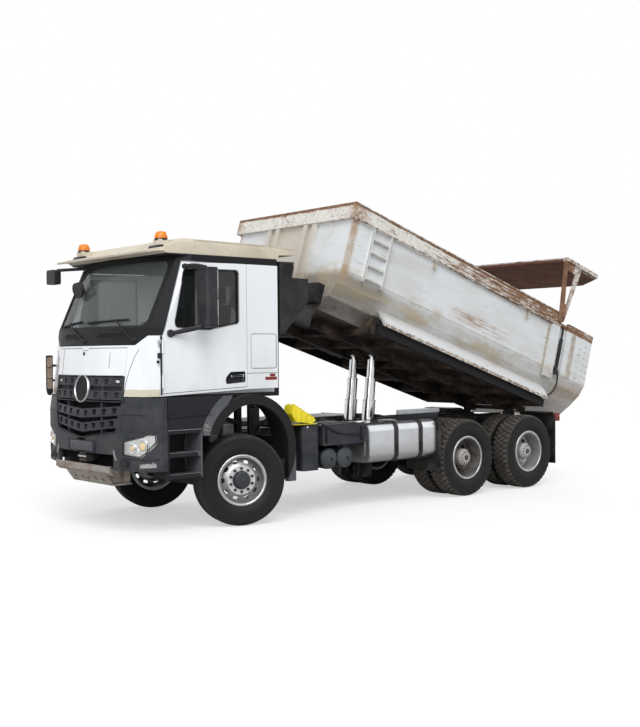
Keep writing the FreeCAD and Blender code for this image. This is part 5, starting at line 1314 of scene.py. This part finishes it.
def body_trim(flaky, white, stain_and_shade, matte):
    """Panel seams of the half pipe, tarp hooks, flaking and worn edges, painted shade on the post's front
    face, and the hoses behind the post.
    """
    def level(shape, side, y, w, low, high, count, width, proud):
        line = [(u, side * y, w) for u in steps_between(low, high, count)]
        shape.ribbon(line, UP, (0, side, 0), width, proud)

    def upright(shape, side, y, u, low, high, width, proud):
        line = [(u, side * y, w) for w in steps_between(low, high, 9)]
        shape.ribbon(line, AHEAD, (0, side, 0), width, proud)
    seams = Shape("body_seams", white, "body_white", "bed", sharp=50)
    hooks = Shape("tarp_hooks", stain_and_shade, "body_white", "bed", sharp=50)
    flakes = Shape("flaking_edges", flaky, "rusty_steel", "bed", sharp=50)
    worn = Shape("worn_edges_and_post_shade", stain_and_shade, "body_white", "bed", sharp=50)
    hoses = Shape("body_hoses", matte, body="bed", sharp=60)
    for side in (1, -1):
        level(seams, side, PANEL_Y + 0.0005, 0.478, 0.445, 4.58, 25, 0.010, 0.0025)
        for u in (1.02, 3.10):
            hooks.prism("Y", [(u - 0.040, 1.146), (u + 0.040, 1.146), (u + 0.022, 1.040), (u - 0.010, 1.020)],
                        side * 1.203, side * 1.212)
            hooks.prism("Z", [(u - 0.006, side * 1.205), (u + 0.008, side * 1.205), (u + 0.008, side * 1.246),
                              (u - 0.006, side * 1.246)], 1.035, 1.146)
            hooks.pipe([(u, side * 1.222, 1.075), (u + 0.002, side * 1.250, 1.040),
                        (u + 0.050, side * 1.250, 1.020), (u + 0.075, side * 1.238, 1.045)], 0.008, 8)
        level(flakes, side, 1.2505, 0.020, 0.26, 3.78, 30, 0.034, 0.003)
        level(flakes, side, 1.2535, 1.158, 0.27, 4.66, 30, 0.016, 0.004)
        level(flakes, side, 1.2535, 1.348, 0.27, 4.66, 30, 0.014, 0.004)
        for u in (-0.30, -0.44, -0.54):
            for w in steps_between(0.52, 1.08, 7):
                ticks = [(u - 0.028, side * 1.2502, w + 0.1 * u), (u + 0.020, side * 1.2502, w + 0.1 * u)]
                flakes.ribbon(ticks, UP, (0, side, 0), 0.009, 0.002)
        # Painted shade: the wide beige band on the post's front face.
        upright(worn, side, PANEL_Y + 0.003, 0.462, 0.47, 1.14, 0.060, 0.006)
        upright(worn, side, PANEL_Y + 0.003, 0.245, 0.36, 1.14, 0.020, 0.006)
        for u in (3.985, 4.335):
            upright(worn, side, 1.2505, u, 0.43, 1.14, 0.012, 0.002)
        for rung in range(4):
            level(worn, side, 1.2455, 0.475 + 0.175 * rung, 4.02, 4.31, 8, 0.018, 0.002)
    for side in (1, -1):
        upright(worn, side, 1.2512, -0.11, 0.44, 1.14, 0.10, 0.003)
        hoses.pipe([(0.345, side * 1.214, 1.05), (0.36, side * 1.222, 0.80), (0.33, side * 1.220, 0.60),
                    (0.36, side * 1.217, 0.42)], 0.012, 8)
        hoses.pipe([(0.12, side * 1.235, 0.50), (0.08, side * 1.247, 0.30), (0.16, side * 1.240, 0.12),
                    (0.30, side * 1.20, 0.02)], 0.012, 8)
    for y in (-0.48, -0.30, 0.30, 0.48):
        line = [(4.652, y, w) for w in steps_between(0.16, 1.14, 9)]
        worn.ribbon(line, LEFT, AHEAD, 0.066, 0.002)


def gate_trim(rust):
    """Edge lips, cross seams and pins of the lifted gate."""
    shape = Shape("gate_trim", rust, "rusty_steel", "gate", sharp=50)
    for side in (1, -1):
        line = [(u, side * 1.268, 2.1575) for u in steps_between(-0.36, 0.40, 6)]
        shape.ribbon(line, LEFT, UP, 0.026, 0.003)
        shape.on((0.300, side * 1.286, 1.270),
                 (0, side, 0)).domed([(0, 0.040), (0.008, 0.038), (0.014, 0.026)])
        for u in (0.10, 0.24, 0.40):
            shape.on((u, side * 1.284, 2.10),
                     (0, side, 0)).domed([(0, 0.012), (0.006, 0.012), (0.008, 0.006)], 6)
    for u in (-0.30, 0.02, 0.30):
        shape.ribbon([(u, -1.15, 2.1575), (u, 1.15, 2.1575)], AHEAD, UP, 0.014, 0.003)


def hoist_trim(dark):
    """Dark ring joints of the two telescopic rams."""
    lean = math.radians(5.92)
    up = Vector((-math.sin(lean), 0, math.cos(lean)))
    for body, radius, height in (("hoist_barrel", 0.104, 0.150),
                                 ("hoist_first", 0.089, 0.200 + 0.3005 - 0.040),
                                 ("hoist_second", 0.074, 0.200 + 0.6010 - 0.040)):
        shape = Shape("ring_" + body, dark, "frame_black", body, sharp=50)
        for y in (0.190, -0.190):
            foot = Vector((-2.930, y, 0.860)) + up * height
            shape.on(foot, up).spun([(0.026, radius - 0.003), (0.026, radius + 0.003),
                                     (0.028, radius + 0.004), (0.036, radius + 0.004),
                                     (0.040, radius - 0.003)], 40)


def rear_trim(red):
    """Lenses of the tail lamps and reflectors on the ends of the rear bar."""
    for side, word in SIDES:
        shape = Shape("tail_lenses_" + word, red, "lamp_red", bevel=0.006)
        for low, high in ((1.092, 1.128), (1.132, 1.166), (1.170, 1.204)):
            shape.block(-6.018, -6.006, side * low, side * high, 0.965, 1.065)
        shape = Shape("side_reflector_" + word, red, "lamp_red", bevel=0.002)
        shape.block(-5.995, -5.885, side * 1.2145, side * 1.2185, 0.975, 1.055)


def cabin_parts(grey):
    """What shows through the glass: instrument pods and seat stitching."""
    shape = Shape("instrument_pods", grey, "cabin_grey", sharp=50)
    for y in (0.50, -0.30):
        shape.on((0.86, y, 2.235), (-0.2, 0, 1)).domed([(0, 0.14), (0.05, 0.13), (0.08, 0.09)], 24)
    for side in (1, -1):
        for y in (-0.12, 0, 0.12):
            seat = side * 0.52 + y
            shape.pipe([(0.03, seat, 2.10), (-0.02, seat, 2.45), (-0.05, seat, 2.72)], 0.008, 6)


def own_pieces():
    """All that is too small for the solids: trim, lamps' insides, lines, seams, bolts and tread."""
    gloss = plain_finish("gloss_black", BLACK, 0.35)
    matte = plain_finish("matte_black", (0.024, 0.024, 0.027), 0.62, grain=300.0)
    soft = plain_finish("seal_rubber", (0.014, 0.014, 0.015), 0.8, grain=400.0)
    mesh_grey = plain_finish("mesh_grey", (0.040, 0.042, 0.048), 0.7)
    deep = plain_finish("deep_shade", (0.004, 0.004, 0.005), 0.95)
    bare = plain_finish("bare_metal", (0.62, 0.63, 0.64), 0.32, 0.9, spread=0.3)
    bright = plain_finish("reflector", (0.86, 0.87, 0.88), 0.12, 1.0, depth=0.0001, spread=0.1)
    warm = plain_finish("warm_lens", (0.80, 0.60, 0.36), 0.2, depth=0.0002, spread=0.2)
    pale = plain_finish("pale_lens", (0.72, 0.73, 0.72), 0.2, depth=0.0002, spread=0.1)
    nuts = plain_finish("dark_nuts", (0.070, 0.068, 0.066), 0.5, 0.5, spread=0.4)
    grey = plain_finish("grey_paint", (0.36, 0.38, 0.40), 0.5, 0.1)
    cap = plain_finish("cap_grey", (0.55, 0.56, 0.56), 0.5)
    beige = plain_finish("beige_trim", (0.52, 0.47, 0.38), 0.6, spread=0.2)
    plate = plain_finish("blank_plate", (0.085, 0.088, 0.095), 0.5, spread=0.2)
    brown = plain_finish("board_brown", (0.26, 0.20, 0.15), 0.7, spread=0.4)
    amber = plain_finish("amber_lens", AMBER, 0.25, depth=0.0002, spread=0.15)
    red = plain_finish("red_lens", (0.24, 0.011, 0.009), 0.3, depth=0.0002)
    yellow = plain_finish("chock_yellow", (0.84, 0.70, 0.02), 0.5)
    rust = plain_finish("edge_rust", (0.23, 0.115, 0.060), 0.9, spread=0.5)
    seam = plain_finish("weld_white", (0.60, 0.59, 0.57), 0.6, spread=0.4)
    stain_and_shade = plain_finish("stained_and_shaded_white", (0.55, 0.51, 0.43), 0.65, grain=60.0, spread=0.45)
    silver = plain_finish("mirror_silver", (0.85, 0.87, 0.90), 0.04, 1.0, depth=0.00005, spread=0.02)
    tyres()
    wheel_nuts(nuts, bare)
    cowl(deep, matte)
    wipers(matte)
    flap_trim(gloss, matte, pale, mesh_grey, bare)
    grille_backing(mesh_grey, deep)
    lamp_parts(bright, warm, gloss)
    plates(plate, bare, matte)
    bumper_trim(matte)
    corner_panels(gloss, bare, matte)
    window_seals(soft)
    door_trim(matte, silver)
    roof_trim(amber, matte, beige)
    far_board(brown, matte)
    side_trim(red, bare, yellow)
    tank_trim(bare, matte)
    small_lines(matte, cap, gloss)
    grey_bar(grey, gloss)
    engine_parts(matte, grey)
    body_trim(flaking_edge(), seam, stain_and_shade, matte)
    gate_trim(rust)
    hoist_trim(nuts)
    rear_trim(red)
    cabin_parts(mesh_grey)
    for shape in Shape.made:
        shape.finish()


# Stage, lights and camera

def stage_floor():
    """A large floor that takes shadows and looks white in the picture."""
    mesh = bpy.data.meshes.new("floor")
    size = 60.0
    mesh.from_pydata([(-size, -size, 0), (size, -size, 0), (size, size, 0), (-size, size, 0)], [],
                     [(0, 1, 2, 3)])
    floor = placed("floor", mesh)
    material = bpy.data.materials.new("floor")
    material.use_nodes = True
    tree = material.node_tree
    tree.nodes.remove(tree.nodes["Principled BSDF"])
    matte = tree.nodes.new("ShaderNodeBsdfDiffuse")
    feed((0.50, 0.50, 0.50), matte.inputs["Color"])
    glow = tree.nodes.new("ShaderNodeEmission")
    feed(seen_by(tree, "Camera", "Transmission") * 0.52, glow.inputs["Strength"])
    total = tree.nodes.new("ShaderNodeAddShader")
    tree.links.new(matte.outputs[0], total.inputs[0])
    tree.links.new(glow.outputs[0], total.inputs[1])
    tree.links.new(total.outputs[0], tree.nodes["Material Output"].inputs["Surface"])
    mesh.materials.append(material)


def seen_by(tree, *rays):
    """One for rays of these kinds and nothing for others."""
    path = tree.nodes.new("ShaderNodeLightPath")
    return most(*[Value(tree, path.outputs["Is %s Ray" % ray]) for ray in rays])


def white_world():
    """A white studio whose light on the truck is softer than what the camera sees of it."""
    world = bpy.data.worlds.new("studio")
    bpy.context.scene.world = world
    world.use_nodes = True
    tree = world.node_tree
    background = tree.nodes["Background"]
    feed(seen_by(tree, "Camera", "Glossy", "Transmission").ramp(0.0, 1.0, 0.62, 1.0),
         background.inputs["Strength"])
    feed((1.0, 1.0, 1.0), background.inputs["Color"])


def lamps():
    """A broad sun from above and two large soft lamps, in front and behind."""
    sun = bpy.data.lights.new("sky_light", "SUN")
    sun.energy = 1.5
    sun.angle = math.radians(35)
    placed("sky_light", sun).rotation_euler = (math.radians(-38), math.radians(24), 0)
    for name, place, power in (("front_soft", (12.0, 6.0, 5.5), 420), ("back_soft", (-10, -8, 6), 300)):
        light = bpy.data.lights.new(name, "AREA")
        light.energy = power
        light.size = 6.0
        holder = placed(name, light)
        holder.location = place
        holder.rotation_euler = (Vector((0, 0, 1.5)) - Vector(place)).to_track_quat("-Z", "Y").to_euler()


def photo_camera():
    """The photograph's own camera, on an image 727 pixels high."""
    focal = 1079.4
    image_height = 727
    yaw = math.radians(229.41)
    pitch = math.radians(-0.57)
    roll = math.radians(-0.55)
    ahead = Vector((math.cos(yaw) * math.cos(pitch), math.sin(yaw) * math.cos(pitch), math.sin(pitch)))
    level = Vector((math.sin(yaw), -math.cos(yaw), 0))
    upward = level.cross(ahead)
    right = math.cos(roll) * level + math.sin(roll) * upward
    up = -math.sin(roll) * level + math.cos(roll) * upward
    data = bpy.data.cameras.new("camera")
    data.sensor_width = 36.0
    data.lens = focal * data.sensor_width / image_height
    data.clip_end = 200.0
    camera = placed("camera", data)
    turn = Matrix((right, up, -ahead)).transposed().to_4x4()
    camera.matrix_world = Matrix.Translation(at(7.51, 11.37, 2.03)) @ turn
    bpy.context.scene.camera = camera


def dress(material, *nodes):
    """Puts one material on the named solids."""
    for name in nodes:
        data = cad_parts[name].data
        if not data.materials:
            data.materials.append(material)
        for place in range(len(data.materials)):
            data.materials[place] = material


def dress_solids():
    """Gives every solid its material."""
    dress(frame_black(), "frame", "tow_jaw", "springs", "hoist_barrels", "bed_front_blocks", "gate_rams")
    dress(frame_black("axle_brown", 0.8), "front_axle", "middle_axle", "rear_axle", "knuckle_left",
          "knuckle_right", "drivetrain")
    dress(dark_plastic("air_tank_grey", (0.040, 0.047, 0.057), 0.9, 0.15), "air_tanks")
    dress(dark_plastic("dark_plastic", (0.020, 0.023, 0.031), 1.3, 0.16), "side_boxes", "bumper")
    dress(dark_plastic("black_plastic", (0.010, 0.010, 0.012), 1.4, 0.22), "rear_mudguards", "air_intake")
    dress(dark_plastic("mirror_plastic", (0.022, 0.023, 0.028), 1.0, 0.1), "mirror_left", "mirror_right",
          "front_mirrors")
    dress(flare_plastic(), "front_mudguards")
    dress(aluminium(), "fuel_tank")
    dress(worn_steel(), "skid_plate")
    dress(glass("lamp_glass", (0.80, 0.81, 0.80), 0.38), "headlamps")
    dress(glass("screen_glass", (0.17, 0.20, 0.20), 0.22), "cab_glass")
    dress(glass("window_glass", (0.010, 0.012, 0.013), 0.72), "door_glass_left", "door_glass_right")
    dress(lamp_red(), "rear_lamps")
    dress(safety_yellow(), "wheel_chocks")
    dress(cab_white(), "cab_shell", "door_left", "door_right")
    dress(flap_white(), "front_flap")
    dress(roof_beige(), "cab_roof")
    dress(cabin_grey(), "cab_interior")
    dress(body_white(), "bed_shell")
    dress(rim_rust(), "bed_rim")
    dress(underbody(), "bed_frame")
    dress(gate_rust(), "gate_plate", "gate_arms")
    dress(chrome(), "hoist_stage_one", "hoist_stage_two", "hoist_rods")
    for side, word in SIDES:
        place, turn = wheel_place(side)
        tyre, rim = "tyre_front_" + word, "rim_front_" + word
        dress(rubber(tyre, place, turn, 0.25), tyre)
        dress(wheel_silver(rim, place, turn, 0.108, (0.020, 0.023, 0.030), -0.02, painted_light_zones=True), rim)
        for axle, x, hub, worn, dirt in (("middle", MIDDLE_X, (0.40, 0.385, 0.36), 0.06, 0.88),
                                         ("rear", REAR_X, (0.42, 0.42, 0.42), 0.0, 0.30)):
            place = at(x, side * DUAL_Y, TYRE_R)
            tyre, rim = "tyres_%s_%s" % (axle, word), "rims_%s_%s" % (axle, word)
            dress(rubber(tyre, place, 0, 0.75), tyre)
            dress(wheel_silver(rim, place, 0, 0.122, hub, worn, dirt=dirt), rim)


def main():
    bpy.context.scene.view_settings.view_transform = "Standard"
    stage_floor()
    white_world()
    lamps()
    photo_camera()
    dress_solids()
    own_pieces()


main()
